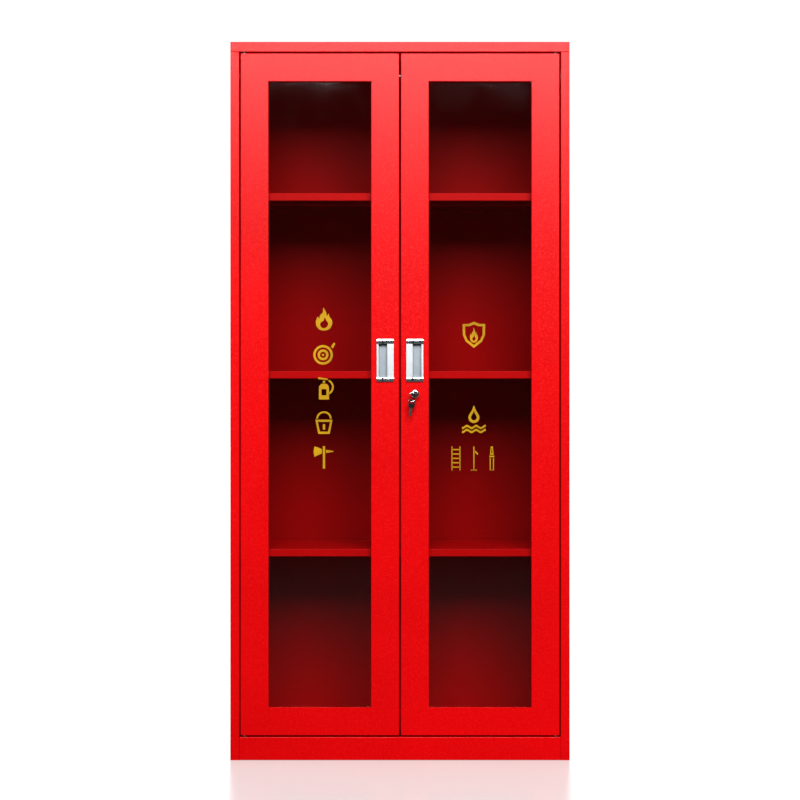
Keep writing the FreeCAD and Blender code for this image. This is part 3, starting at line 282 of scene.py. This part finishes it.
FINISH = {
    "red_enamel": powder_coat("red_enamel", (0.60, 0.0006, 0.0014), (0.76, 0.0008, 0.0020), (0.20, 0.30),
                              0.17),
    # red_shadow is darkened to about 0.3, well below the carcass red: painted shade for the inside of the
    # cabinet.
    "red_shadow": powder_coat("red_shadow", (0.26, 0.0004, 0.0008), (0.33, 0.0004, 0.0008), (0.34, 0.46),
                              0.02, rear=BACK_SKIN_MIDDLE),
    # The shelves: the enamel red darkened, painted shade for shelves inside the carcass.
    "red_shelf_painted_shade": powder_coat("red_shelf_painted_shade", (0.44, 0.0005, 0.0011), (0.54, 0.0006, 0.0014), (0.30, 0.42),
                             0.05),
    "zinc_steel": surface("zinc_steel", (0.52, 0.53, 0.56), (0.70, 0.71, 0.73), (0.26, 0.44), 1.0,
                          patch=60.0, grain=900.0, grain_strength=0.15),
    "chrome": surface("chrome", (0.74, 0.80, 0.82), (0.84, 0.90, 0.91), (0.06, 0.13), 1.0,
                      patch=50.0, grain=300.0, grain_strength=0.02),
    # The pulls' aluminium carries painted shade in its recess.
    "aluminium": surface("aluminium", (0.52, 0.55, 0.57), (0.60, 0.63, 0.65), (0.34, 0.46), 1.0,
                         patch=40.0, grain=2600.0, grain_strength=0.10, stretch=(1.0, 1.0, 0.02),
                         shade_span=PULL_RECESS),
    "glass": pane(),
    "black_rubber": surface("black_rubber", (0.008, 0.008, 0.009), (0.02, 0.02, 0.021), (0.62, 0.82),
                            patch=40.0, grain=1200.0, grain_strength=0.3),
    "white_nylon": surface("white_nylon", (0.66, 0.65, 0.60), (0.78, 0.77, 0.73), (0.40, 0.55),
                           patch=50.0, grain=900.0, grain_strength=0.12),
    "black_plastic": surface("black_plastic", (0.003, 0.003, 0.003), (0.007, 0.007, 0.007), (0.40, 0.55),
                             patch=60.0, grain=1800.0, grain_strength=0.18),
    "nickel_key": surface("nickel_key", (0.58, 0.57, 0.55), (0.74, 0.73, 0.70), (0.16, 0.30), 1.0,
                          patch=80.0, grain=1400.0, grain_strength=0.12),
    "gold_vinyl": surface("gold_vinyl", (0.36, 0.18, 0.0005), (0.56, 0.31, 0.001), (0.34, 0.48),
                          patch=16.0, grain=700.0, grain_strength=0.06, shine=0.15),
}


def floor():
    mesh = bpy.data.meshes.new("floor")
    shape = bmesh.new()
    bmesh.ops.create_grid(shape, x_segments=8, y_segments=8, size=40.0)
    shape.to_mesh(mesh)
    shape.free()
    obj = bpy.data.objects.new("floor", mesh)
    bpy.context.scene.collection.objects.link(obj)
    made, tree, bsdf = new_material("floor_white")
    patches = spread(tree, noise(tree, 0.8, 2.0), 0.0, 1.0)
    tree.links.new(tinted(tree, patches, (0.24, 0.24, 0.24), (0.26, 0.26, 0.26)), bsdf.inputs["Base Color"])
    bsdf.inputs["Roughness"].default_value = 0.24
    bsdf.inputs["Emission Color"].default_value = (1.0, 1.0, 1.0, 1.0)
    bsdf.inputs["Emission Strength"].default_value = 0.45
    matt = tree.nodes.new("ShaderNodeBsdfDiffuse")
    matt.inputs["Color"].default_value = (0.05, 0.05, 0.05, 1.0)
    path = tree.nodes.new("ShaderNodeLightPath")
    mix = tree.nodes.new("ShaderNodeMixShader")
    tree.links.new(path.outputs["Is Camera Ray"], mix.inputs[0])
    tree.links.new(matt.outputs[0], mix.inputs[1])
    tree.links.new(bsdf.outputs[0], mix.inputs[2])
    tree.links.new(mix.outputs[0], tree.nodes["Material Output"].inputs["Surface"])
    mesh.materials.append(made)


floor()


# ---------------------------------------------------------------- making and linking pieces
def link(name, mesh, finish, body, slot=None):
    """A piece in the row frame, riding on its body.

    slot, the record's material slot where the finish has another name, is not used."""
    obj = bpy.data.objects.new(name, mesh)
    bpy.context.scene.collection.objects.link(obj)
    mesh.materials.clear()
    mesh.materials.append(FINISH[finish])
    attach(obj, body)
    return obj


def from_shape(shape, name):
    mesh = bpy.data.meshes.new(name)
    shape.to_mesh(mesh)
    shape.free()
    return mesh


def corners(points):
    """The lowest and the highest corner of the box round some points."""
    return (Vector([min(p[k] for p in points) for k in range(3)]),
            Vector([max(p[k] for p in points) for k in range(3)]))


def soften(obj, angle=35.0):
    """Smooth shading between sharp edges, with flat faces kept flat."""
    obj.data.shade_smooth()
    obj.data.set_sharp_from_angle(angle=math.radians(angle))
    keep = obj.modifiers.new("flat_faces", "WEIGHTED_NORMAL")
    keep.keep_sharp = True
    keep.weight = 80


def cad_shape(node):
    """The node's mesh with its flat faces made whole again."""
    shape = bmesh.new()
    shape.from_mesh(nodes[node].data)
    bmesh.ops.remove_doubles(shape, verts=shape.verts, dist=MERGE)
    bmesh.ops.dissolve_limit(shape, angle_limit=math.radians(0.5), verts=shape.verts, edges=shape.edges)
    shape.normal_update()
    return shape


def reach(face, edge):
    """How far a face stretches away from one of its edges."""
    start = edge.verts[0].co
    along = (edge.verts[1].co - start).normalized()
    return max(((v.co - start) - along * (v.co - start).dot(along)).length for v in face.verts)


def is_fold(edge, shortest, width):
    if len(edge.link_faces) != 2 or edge.calc_length() < shortest:
        return False
    turn = edge.calc_face_angle_signed(0.0)
    if turn < math.radians(60.0):
        return False
    return all(reach(face, edge) > width for face in edge.link_faces)


def folded_sheet(node, radius=1.4, shortest=12.0, finish=None):
    """The CAD sheet with its outer folds rolled to a radius, as a press brake leaves them."""
    shape = cad_shape(node)
    folds = [e for e in shape.edges if is_fold(e, shortest * MM, 2.2 * radius * MM)]
    bmesh.ops.bevel(shape, geom=folds, offset=radius * MM, offset_type="OFFSET", segments=4,
                    profile=0.5, affect="EDGES", clamp_overlap=False)
    slot = nodes[node].data.materials[0].name
    body = nodes[node]["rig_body"]
    obj = link(node + "_folded", from_shape(shape, node + "_folded"), finish or slot, body, slot)
    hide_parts(node)
    soften(obj)
    return obj


def eased(node, radius, segments=2, angle=40.0):
    """A CAD node kept as it is, with its edges eased."""
    obj = nodes[node]
    weld = obj.modifiers.new("weld", "WELD")
    weld.merge_threshold = MERGE
    edge = obj.modifiers.new("edges", "BEVEL")
    edge.width = radius * MM
    edge.segments = segments
    edge.limit_method = "ANGLE"
    edge.angle_limit = math.radians(angle)
    edge.use_clamp_overlap = True
    edge.harden_normals = False
    keep = obj.modifiers.new("flat_faces", "WEIGHTED_NORMAL")
    keep.keep_sharp = False


# ---------------------------------------------------------------- sheet metal
for node in ("door_left_frame", "door_right_frame", "side_panel_left", "side_panel_right", "top_panel",
             "bottom_panel"):
    folded_sheet(node)
# The shelves take a darker red: painted shade.
for node in ("shelf_lower", "shelf_middle", "shelf_upper"):
    folded_sheet(node, finish="red_shelf_painted_shade")
for node in ("shelf_upright_front_left", "shelf_upright_front_right", "shelf_upright_rear_left",
             "shelf_upright_rear_right", "shelf_ribs", "shelf_clips"):
    folded_sheet(node, radius=0.9, shortest=5.0)


# ---------------------------------------------------------------- pulls and lock
def domed_caps(node, arch=15.0, strips=10):
    """End caps of a pull, with their faces arched from top to bottom."""
    shape = cad_shape(node)
    front = min(v.co.y for v in shape.verts)
    levels = sorted(v.co.z for v in shape.verts if v.co.y < front + 1e-5)
    middle = (levels[0] + levels[-1]) / 2
    for low, high in ((levels[0], max(z for z in levels if z < middle)),
                      (min(z for z in levels if z > middle), levels[-1])):
        for k in range(1, strips):
            cut_z = low + (high - low) * k / strips
            bmesh.ops.bisect_plane(shape, geom=list(shape.verts) + list(shape.edges) + list(shape.faces),
                                   plane_co=(0.0, 0.0, cut_z), plane_no=(0.0, 0.0, 1.0))
        radius = (high - low) / 2 / math.sin(math.radians(arch))
        for vert in shape.verts:
            if vert.co.y < front + 1e-5 and low - 1e-5 < vert.co.z < high + 1e-5:
                off = vert.co.z - (low + high) / 2
                vert.co.y = front + radius - (radius ** 2 - off ** 2) ** 0.5
    obj = link(node + "_domed", from_shape(shape, node + "_domed"), "chrome", nodes[node]["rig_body"])
    edge = obj.modifiers.new("edges", "BEVEL")
    edge.width = 0.45 * MM
    edge.segments = 3
    edge.limit_method = "ANGLE"
    edge.angle_limit = math.radians(50.0)
    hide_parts(node)
    soften(obj)


def turned(name, profile, centre, finish, body, node, steps=64):
    """A closed ring turned about the lock's axis from (radius, depth) points."""
    shape = bmesh.new()
    rings = []
    for radius, depth in profile:
        rings.append([shape.verts.new((centre.x + radius * MM * math.cos(2 * math.pi * k / steps),
                                       centre.y + depth * MM,
                                       centre.z + radius * MM * math.sin(2 * math.pi * k / steps)))
                      for k in range(steps)])
    for index, ring in enumerate(rings):
        following = rings[(index + 1) % len(rings)]
        for k in range(steps):
            n = (k + 1) % steps
            shape.faces.new((ring[k], ring[n], following[n], following[k]))
    bmesh.ops.recalc_face_normals(shape, faces=shape.faces)
    obj = link(name, from_shape(shape, name), finish, body)
    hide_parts(node)
    soften(obj, 30.0)


def lock_face():
    """The lock's barrel: a domed rim round the plug, and a threaded body behind the door skin."""
    low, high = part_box("lock_barrel")
    centre = Vector(((low.x + high.x) / 2, low.y, (low.z + high.z) / 2))
    rim = (high.x - low.x) / 2 / MM
    depth = (high.y - low.y) / MM
    plug_low, plug_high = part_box("lock_plug")
    bore = (plug_high.x - plug_low.x) / 2 / MM + 0.15
    profile = [(bore, 0.75), (bore + 0.25, 0.45), (bore + 0.7, 0.16), (bore + 1.4, 0.0), (bore + 2.1, 0.08),
               (rim - 1.9, 0.34), (rim - 1.1, 0.78), (rim - 0.5, 1.35), (rim - 0.15, 2.0), (rim, 2.6),
               (rim, 3.0)]
    body_r = rim * 9.0 / 11.0
    profile.append((body_r, 3.0))
    pitch = 1.0
    start = 3.6
    while start + pitch < depth - 0.4:
        profile.append((body_r, start))
        profile.append((body_r - 0.5, start + pitch / 2))
        start += pitch
    profile += [(body_r, start), (body_r - 0.4, depth), (bore, depth)]
    turned("lock_barrel_turned", profile, centre, "chrome", "door_right", "lock_barrel")


for node in ("pull_left_end_caps", "pull_right_end_caps"):
    domed_caps(node)
lock_face()


# ---------------------------------------------------------------- fasteners
def islands(node):
    """The separate solids of a CAD node, each as a list of points."""
    shape = bmesh.new()
    shape.from_mesh(nodes[node].data)
    bmesh.ops.remove_doubles(shape, verts=shape.verts, dist=MERGE)
    left = set(shape.verts)
    found = []
    while left:
        group = []
        queue = [left.pop()]
        while queue:
            vert = queue.pop()
            group.append(vert.co.copy())
            for edge in vert.link_edges:
                other = edge.other_vert(vert)
                if other in left:
                    left.remove(other)
                    queue.append(other)
        found.append(group)
    shape.free()
    found.sort(key=lambda g: tuple(round(c, 4) for c in (min(p.x for p in g), min(p.z for p in g))))
    return found


def screw_facts(points):
    """Middle of the head's seat, direction from shank to head, and the screw's sizes.

    The sizes are the head's radius and height, then the shank's radius and length."""
    low, high = corners(points)
    ext = high - low
    gaps = [abs(ext[(k + 1) % 3] - ext[(k + 2) % 3]) for k in range(3)]
    axis = gaps.index(min(gaps))
    middle = (low + high) / 2
    away = [((p[(axis + 1) % 3] - middle[(axis + 1) % 3]) ** 2
             + (p[(axis + 2) % 3] - middle[(axis + 2) % 3]) ** 2) ** 0.5 for p in points]
    head_r = max(away)
    heads = [p[axis] for p, a in zip(points, away) if a > head_r * 0.97]
    shank_r = max([a for p, a in zip(points, away) if a < head_r * 0.85])
    up = 1.0 if abs(max(heads) - high[axis]) < abs(min(heads) - low[axis]) else -1.0
    seat = min(heads) if up > 0 else max(heads)
    end = high[axis] if up > 0 else low[axis]
    tip = low[axis] if up > 0 else high[axis]
    place = middle.copy()
    place[axis] = seat
    direction = Vector((0, 0, 0))
    direction[axis] = up
    return place, direction, head_r, abs(end - seat), shank_r, abs(seat - tip)


def lathe(shape, profile, steps=32):
    """Closed solid of revolution about z from (radius, height) points, first and last on the axis."""
    rings = []
    for radius, height in profile:
        if radius < 1e-9:
            rings.append([shape.verts.new((0.0, 0.0, height))])
        else:
            rings.append([shape.verts.new((radius * math.cos(2 * math.pi * k / steps),
                                           radius * math.sin(2 * math.pi * k / steps), height))
                          for k in range(steps)])
    for low, high in zip(rings, rings[1:]):
        for k in range(steps):
            n = (k + 1) % steps
            if len(low) == 1:
                shape.faces.new((low[0], high[n], high[k]))
            elif len(high) == 1:
                shape.faces.new((low[k], low[n], high[0]))
            else:
                shape.faces.new((low[k], low[n], high[n], high[k]))


def cross_cutter(size, depth, top):
    """A tapered cross that cuts a driver recess."""
    shape = bmesh.new()
    arm = size * 0.17
    outline = [(arm, arm), (size, arm * 0.8), (size, -arm * 0.8), (arm, -arm), (arm * 0.8, -size),
               (-arm * 0.8, -size), (-arm, -arm), (-size, -arm * 0.8), (-size, arm * 0.8), (-arm, arm),
               (-arm * 0.8, size), (arm * 0.8, size)]
    low = [shape.verts.new((x * 0.45, y * 0.45, top - depth)) for x, y in outline]
    high = [shape.verts.new((x * 1.25, y * 1.25, top + depth * 0.45)) for x, y in outline]
    shape.faces.new(low)
    shape.faces.new(high)
    for k in range(len(outline)):
        n = (k + 1) % len(outline)
        shape.faces.new((low[k], low[n], high[n], high[k]))
    bmesh.ops.recalc_face_normals(shape, faces=shape.faces)
    return from_shape(shape, "cutter")


def cut(mesh, cutter):
    """mesh less cutter, as a new mesh."""
    body = bpy.data.objects.new("cut_body", mesh)
    tool = bpy.data.objects.new("cut_tool", cutter)
    for obj in (body, tool):
        bpy.context.scene.collection.objects.link(obj)
    action = body.modifiers.new("cut", "BOOLEAN")
    action.operation = "DIFFERENCE"
    action.solver = "EXACT"
    action.object = tool
    bpy.context.view_layer.update()
    done = bpy.data.meshes.new_from_object(body.evaluated_get(bpy.context.evaluated_depsgraph_get()))
    for obj in (body, tool):
        bpy.data.objects.remove(obj)
    return done


def screw_mesh(head_r, head_t, shank_r, shank_l):
    """A pan-head screw: domed head with a cross recess, threaded shank with a point."""
    shape = bmesh.new()
    pitch = max(0.35 * MM, shank_r * 0.45)
    point = min(shank_r * 1.1, shank_l * 0.35)
    turns = max(1, int((shank_l - point) / pitch))
    step = (shank_l - point) / turns
    profile = [(0.0, -shank_l), (shank_r * 0.35, -shank_l + point * 0.25), (shank_r * 0.84, -shank_l + point)]
    for k in range(turns):
        start = -shank_l + point + k * step
        profile.append((shank_r, start + step * 0.5))
        profile.append((shank_r * 0.84, start + step * 0.98))
    profile += [(shank_r * 0.84, 0.0), (head_r * 0.95, 0.0), (head_r, head_t * 0.08), (head_r, head_t * 0.35),
                (head_r * 0.94, head_t * 0.62), (head_r * 0.78, head_t * 0.85), (head_r * 0.5, head_t * 0.97),
                (0.0, head_t)]
    lathe(shape, profile)
    bmesh.ops.recalc_face_normals(shape, faces=shape.faces)
    return cut(from_shape(shape, "screw"), cross_cutter(head_r * 0.52, head_t * 0.7, head_t))


screw_kinds = {}


def driven_screws(node):
    """Every screw of a CAD node, with its head detailed and turned its own way."""
    shape = bmesh.new()
    for index, points in enumerate(islands(node)):
        place, direction, *sizes = screw_facts(points)
        kind = tuple(round(s, 5) for s in sizes)
        if kind not in screw_kinds:
            screw_kinds[kind] = screw_mesh(*kind)
        turn = Matrix.Rotation(math.radians(37.0 * index), 4, "Z")
        stand = direction.to_track_quat("Z", "Y").to_matrix().to_4x4()
        part = screw_kinds[kind].copy()
        part.transform(Matrix.Translation(place) @ stand @ turn)
        shape.from_mesh(part)
    body = nodes[node]["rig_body"]
    obj = link(node + "_driven", from_shape(shape, node + "_driven"), "zinc_steel", body)
    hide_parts(node)
    soften(obj, 40.0)


for node in ("back_panel_screws", "top_panel_screws", "bottom_panel_screws", "door_left_bead_screws",
             "door_right_bead_screws", "pull_left_screws", "pull_right_screws", "lock_cam_screw"):
    driven_screws(node)


# ---------------------------------------------------------------- key ring
def split_ring():
    """Two turns of round wire that lie side by side, with the ends cut square."""
    low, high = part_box("key_ring")
    centre = (low + high) / 2
    wire = (high.y - low.y) / 4
    radius = (high.x - low.x) / 2 - wire * 2.0
    steps = 96
    turns = 1.86
    shape = bmesh.new()
    rings = []
    for k in range(steps + 1):
        share = k / steps
        angle = 2 * math.pi * turns * share + 0.6
        side = (share - 0.5) * 2.0
        shift = wire * 0.98 * max(-1.0, min(1.0, side * 6.0))
        out = Vector((math.cos(angle), 0.0, math.sin(angle)))
        middle = centre + out * radius + Vector((0.0, shift, 0.0))
        ring = []
        for j in range(10):
            spin = 2 * math.pi * j / 10
            ring.append(shape.verts.new(middle + out * (wire * 1.9 * math.cos(spin))
                                        + Vector((0.0, wire * 0.96 * math.sin(spin), 0.0))))
        rings.append(ring)
    for a, b in zip(rings, rings[1:]):
        for j in range(10):
            n = (j + 1) % 10
            shape.faces.new((a[j], a[n], b[n], b[j]))
    shape.faces.new(rings[0])
    shape.faces.new(rings[-1])
    bmesh.ops.recalc_face_normals(shape, faces=shape.faces)
    obj = link("key_ring_split", from_shape(shape, "key_ring_split"), "chrome", "key_ring")
    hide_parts("key_ring")
    soften(obj, 50.0)


split_ring()


# ---------------------------------------------------------------- marks on the glass
def ring_points(x, y, radius, steps=40, start=0.0, sweep=360.0, tall=1.0):
    count = steps if sweep >= 360.0 else steps + 1
    return [(x + radius * math.cos(math.radians(start + sweep * k / steps)),
             y + radius * tall * math.sin(math.radians(start + sweep * k / steps))) for k in range(count)]


def smooth(points, steps=6):
    """A closed Catmull-Rom line through the points."""
    line = []
    count = len(points)
    for k in range(count):
        a, b, c, d = (points[(k + j - 1) % count] for j in range(4))
        for s in range(steps):
            t = s / steps
            line.append(tuple(0.5 * (2 * b[i] + (c[i] - a[i]) * t
                                     + (2 * a[i] - 5 * b[i] + 4 * c[i] - d[i]) * t * t
                                     + (3 * b[i] - a[i] - 3 * c[i] + d[i]) * t ** 3) for i in (0, 1)))
    return line


def scaled(points, size_x, size_y=None, dx=0.0, dy=0.0):
    size_y = size_x if size_y is None else size_y
    return [(dx + x * size_x, dy + y * size_y) for x, y in points]


def arc_band(x, y, outer, inner, start, sweep, steps=24):
    return (ring_points(x, y, outer, steps, start, sweep)
            + ring_points(x, y, inner, steps, start + sweep, -sweep))


def box_points(x0, y0, x1, y1):
    return [(x0, y0), (x1, y0), (x1, y1), (x0, y1)]


FLAME = [(0.0, -1.0), (0.45, -0.88), (0.7, -0.5), (0.7, -0.1), (0.48, 0.22), (0.4, 0.48), (0.26, 0.28),
         (0.18, 0.62), (-0.06, 1.0), (-0.1, 0.62), (-0.34, 0.34), (-0.42, 0.06), (-0.54, 0.22),
         (-0.7, -0.14), (-0.66, -0.6), (-0.4, -0.9)]
HEART = [(0.0, -0.8), (0.28, -0.66), (0.36, -0.36), (0.2, -0.1), (0.06, 0.14), (-0.04, -0.14), (-0.2, -0.22),
         (-0.34, -0.42), (-0.24, -0.7)]
DROP = [(0.0, 1.0), (0.22, 0.5), (0.52, 0.06), (0.68, -0.34), (0.5, -0.8), (0.0, -1.0), (-0.5, -0.8),
        (-0.68, -0.34), (-0.52, 0.06), (-0.22, 0.5)]


def flame_mark():
    return [smooth(FLAME), smooth(HEART)]


def reel_mark():
    return [ring_points(-0.08, -0.1, 0.86), ring_points(-0.08, -0.1, 0.66), ring_points(-0.08, -0.1, 0.48),
            ring_points(-0.08, -0.1, 0.27), ring_points(-0.08, -0.1, 0.1),
            [(0.62, 0.62), (0.78, 0.46), (1.0, 0.86), (0.88, 1.0)]]


def bottle_mark():
    body = smooth([(-0.4, -0.98), (0.4, -0.98), (0.44, -0.9), (0.44, 0.0), (0.36, 0.26), (0.16, 0.4),
                   (-0.16, 0.4), (-0.36, 0.26), (-0.44, 0.0), (-0.44, -0.9)], 4)
    label = box_points(-0.22, -0.62, 0.22, -0.08)
    neck = box_points(-0.1, 0.48, 0.1, 0.66)
    lever = [(-0.5, 0.98), (0.34, 0.84), (0.34, 0.72), (-0.52, 0.8)]
    hose = arc_band(0.14, 0.1, 0.72, 0.56, 64.0, -128.0)
    return [body, label, neck, lever, hose]


def bucket_mark():
    return [[(-0.76, 0.28), (0.76, 0.28), (0.5, -0.98), (-0.5, -0.98)],
            [(-0.54, 0.08), (0.54, 0.08), (0.36, -0.78), (-0.36, -0.78)],
            arc_band(0.0, 0.34, 0.68, 0.52, 2.0, 176.0), box_points(-0.1, -0.6, 0.1, -0.12)]


def axe_mark():
    return [box_points(-0.1, -1.0, 0.1, 0.98),
            [(-0.18, 0.72), (-0.5, 0.86), (-0.84, 0.96), (-0.92, 0.5), (-0.84, 0.04), (-0.5, 0.2),
             (-0.18, 0.34)],
            [(0.18, 0.66), (0.84, 0.56), (0.84, 0.48), (0.18, 0.38)]]


def shield_mark():
    outer = [(-0.86, 0.82), (-0.4, 0.84), (0.0, 1.0), (0.4, 0.84), (0.86, 0.82), (0.84, 0.0), (0.62, -0.5),
             (0.0, -1.0), (-0.62, -0.5), (-0.84, 0.0)]
    return [outer, scaled(outer, 0.78, 0.78, 0.0, 0.01), scaled(smooth(FLAME), 0.42, 0.56, 0.0, -0.03),
            scaled(smooth(HEART), 0.36, 0.44, 0.0, -0.1)]


def tank_mark():
    waves = []
    for level in (-0.86, -0.56):
        top = [(x / 10.0, level + 0.09 * math.sin(x * 0.9)) for x in range(-9, 10)]
        waves.append(top + [(x, y - 0.17) for x, y in reversed(top)])
    return waves + [scaled(smooth(DROP), 0.62, 0.66, 0.0, 0.32), scaled(smooth(DROP), 0.32, 0.36, 0.0, 0.22)]


def ladder_mark():
    rungs = [box_points(-0.62, y - 0.05, 0.62, y + 0.05) for y in (-0.72, -0.36, 0.0, 0.36, 0.72)]
    return rungs + [box_points(-0.86, -1.0, -0.68, 1.0), box_points(0.68, -1.0, 0.86, 1.0)]


def hook_mark():
    return [box_points(-0.1, -1.0, 0.1, 0.98), [(0.2, 0.66), (0.82, 0.4), (0.76, 0.26), (0.2, 0.5)],
            box_points(-0.6, -1.0, -0.2, -0.93), box_points(0.2, -1.0, 0.6, -0.93)]


def nozzle_mark():
    return [[(-0.2, 0.98), (0.2, 0.98), (0.34, 0.3), (-0.34, 0.3)],
            [(-0.06, 0.86), (0.06, 0.86), (0.14, 0.4), (-0.14, 0.4)],
            box_points(-0.48, 0.1, 0.48, 0.22), box_points(-0.4, -0.98, -0.22, 0.02),
            box_points(0.22, -0.98, 0.4, 0.02), box_points(-0.14, -0.98, 0.14, -0.92)]


def add_mark(shape, lines, low, high):
    """Cut vinyl: the outlines, even-odd filled, laid flat between the two corners of the mark's place."""
    curve = bpy.data.curves.new("mark", "CURVE")
    curve.dimensions = "2D"
    curve.fill_mode = "BOTH"
    thickness = high.y - low.y
    curve.extrude = thickness / 2
    centre = (low + high) / 2
    half_x = (high.x - low.x) / 2
    half_z = (high.z - low.z) / 2
    for line in lines:
        spline = curve.splines.new("POLY")
        spline.points.add(len(line) - 1)
        for point, (x, y) in zip(spline.points, line):
            point.co = (x * half_x, y * half_z, 0.0, 1.0)
        spline.use_cyclic_u = True
    obj = bpy.data.objects.new("mark", curve)
    bpy.context.scene.collection.objects.link(obj)
    bpy.context.view_layer.update()
    mesh = bpy.data.meshes.new_from_object(obj.evaluated_get(bpy.context.evaluated_depsgraph_get()))
    mesh.transform(Matrix.Translation(centre) @ Matrix.Rotation(math.radians(90.0), 4, "X"))
    shape.from_mesh(mesh)
    bpy.data.objects.remove(obj)


def marks(node, makers, body):
    """One pictogram in the place of each separate mark of the CAD node."""
    places = []
    for points in islands(node):
        places.append(corners(points))
    places.sort(key=lambda b: (-round(b[1].z, 3), b[0].x))
    shape = bmesh.new()
    for maker, (low, high) in zip(makers, places):
        add_mark(shape, maker(), low, high)
    bmesh.ops.remove_doubles(shape, verts=shape.verts, dist=1e-7)
    bmesh.ops.recalc_face_normals(shape, faces=shape.faces)
    obj = link(node + "_marks", from_shape(shape, node + "_marks"), "gold_vinyl", body)
    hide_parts(node)


marks("decals_left", (flame_mark, reel_mark, bottle_mark, bucket_mark, axe_mark), "door_left")
marks("decals_right", (shield_mark, tank_mark, ladder_mark, hook_mark, nozzle_mark), "door_right")


# ---------------------------------------------------------------- the other CAD pieces
# How far the edges of each are eased, in millimetres
EASED = {"pull_left_profile": 0.5, "pull_right_profile": 0.5, "lock_plug": 0.25, "lock_nut": 0.4,
         "lock_cam": 0.3, "door_bumpers": 0.5, "pivot_bushes": 0.3, "left_bolt_housings": 0.8,
         "rod_guides": 0.8, "left_bolt_upper": 0.4, "left_bolt_lower": 0.4, "lock_rod_upper": 0.25,
         "lock_rod_lower": 0.25, "key_blade": 0.2, "spare_key_blade": 0.2, "door_left_pivot_pins": 0.4,
         "door_right_pivot_pins": 0.4, "pull_left_clamps": 0.3, "pull_right_clamps": 0.3,
         "door_left_beads": 0.25, "door_right_beads": 0.25, "door_left_gasket": 0.3,
         "door_right_gasket": 0.3, "back_panel": 0.2}
for node, radius in EASED.items():
    eased(node, radius)
for node, obj in nodes.items():
    obj.data.materials[0] = FINISH[obj.data.materials[0].name.split(".")[0]]
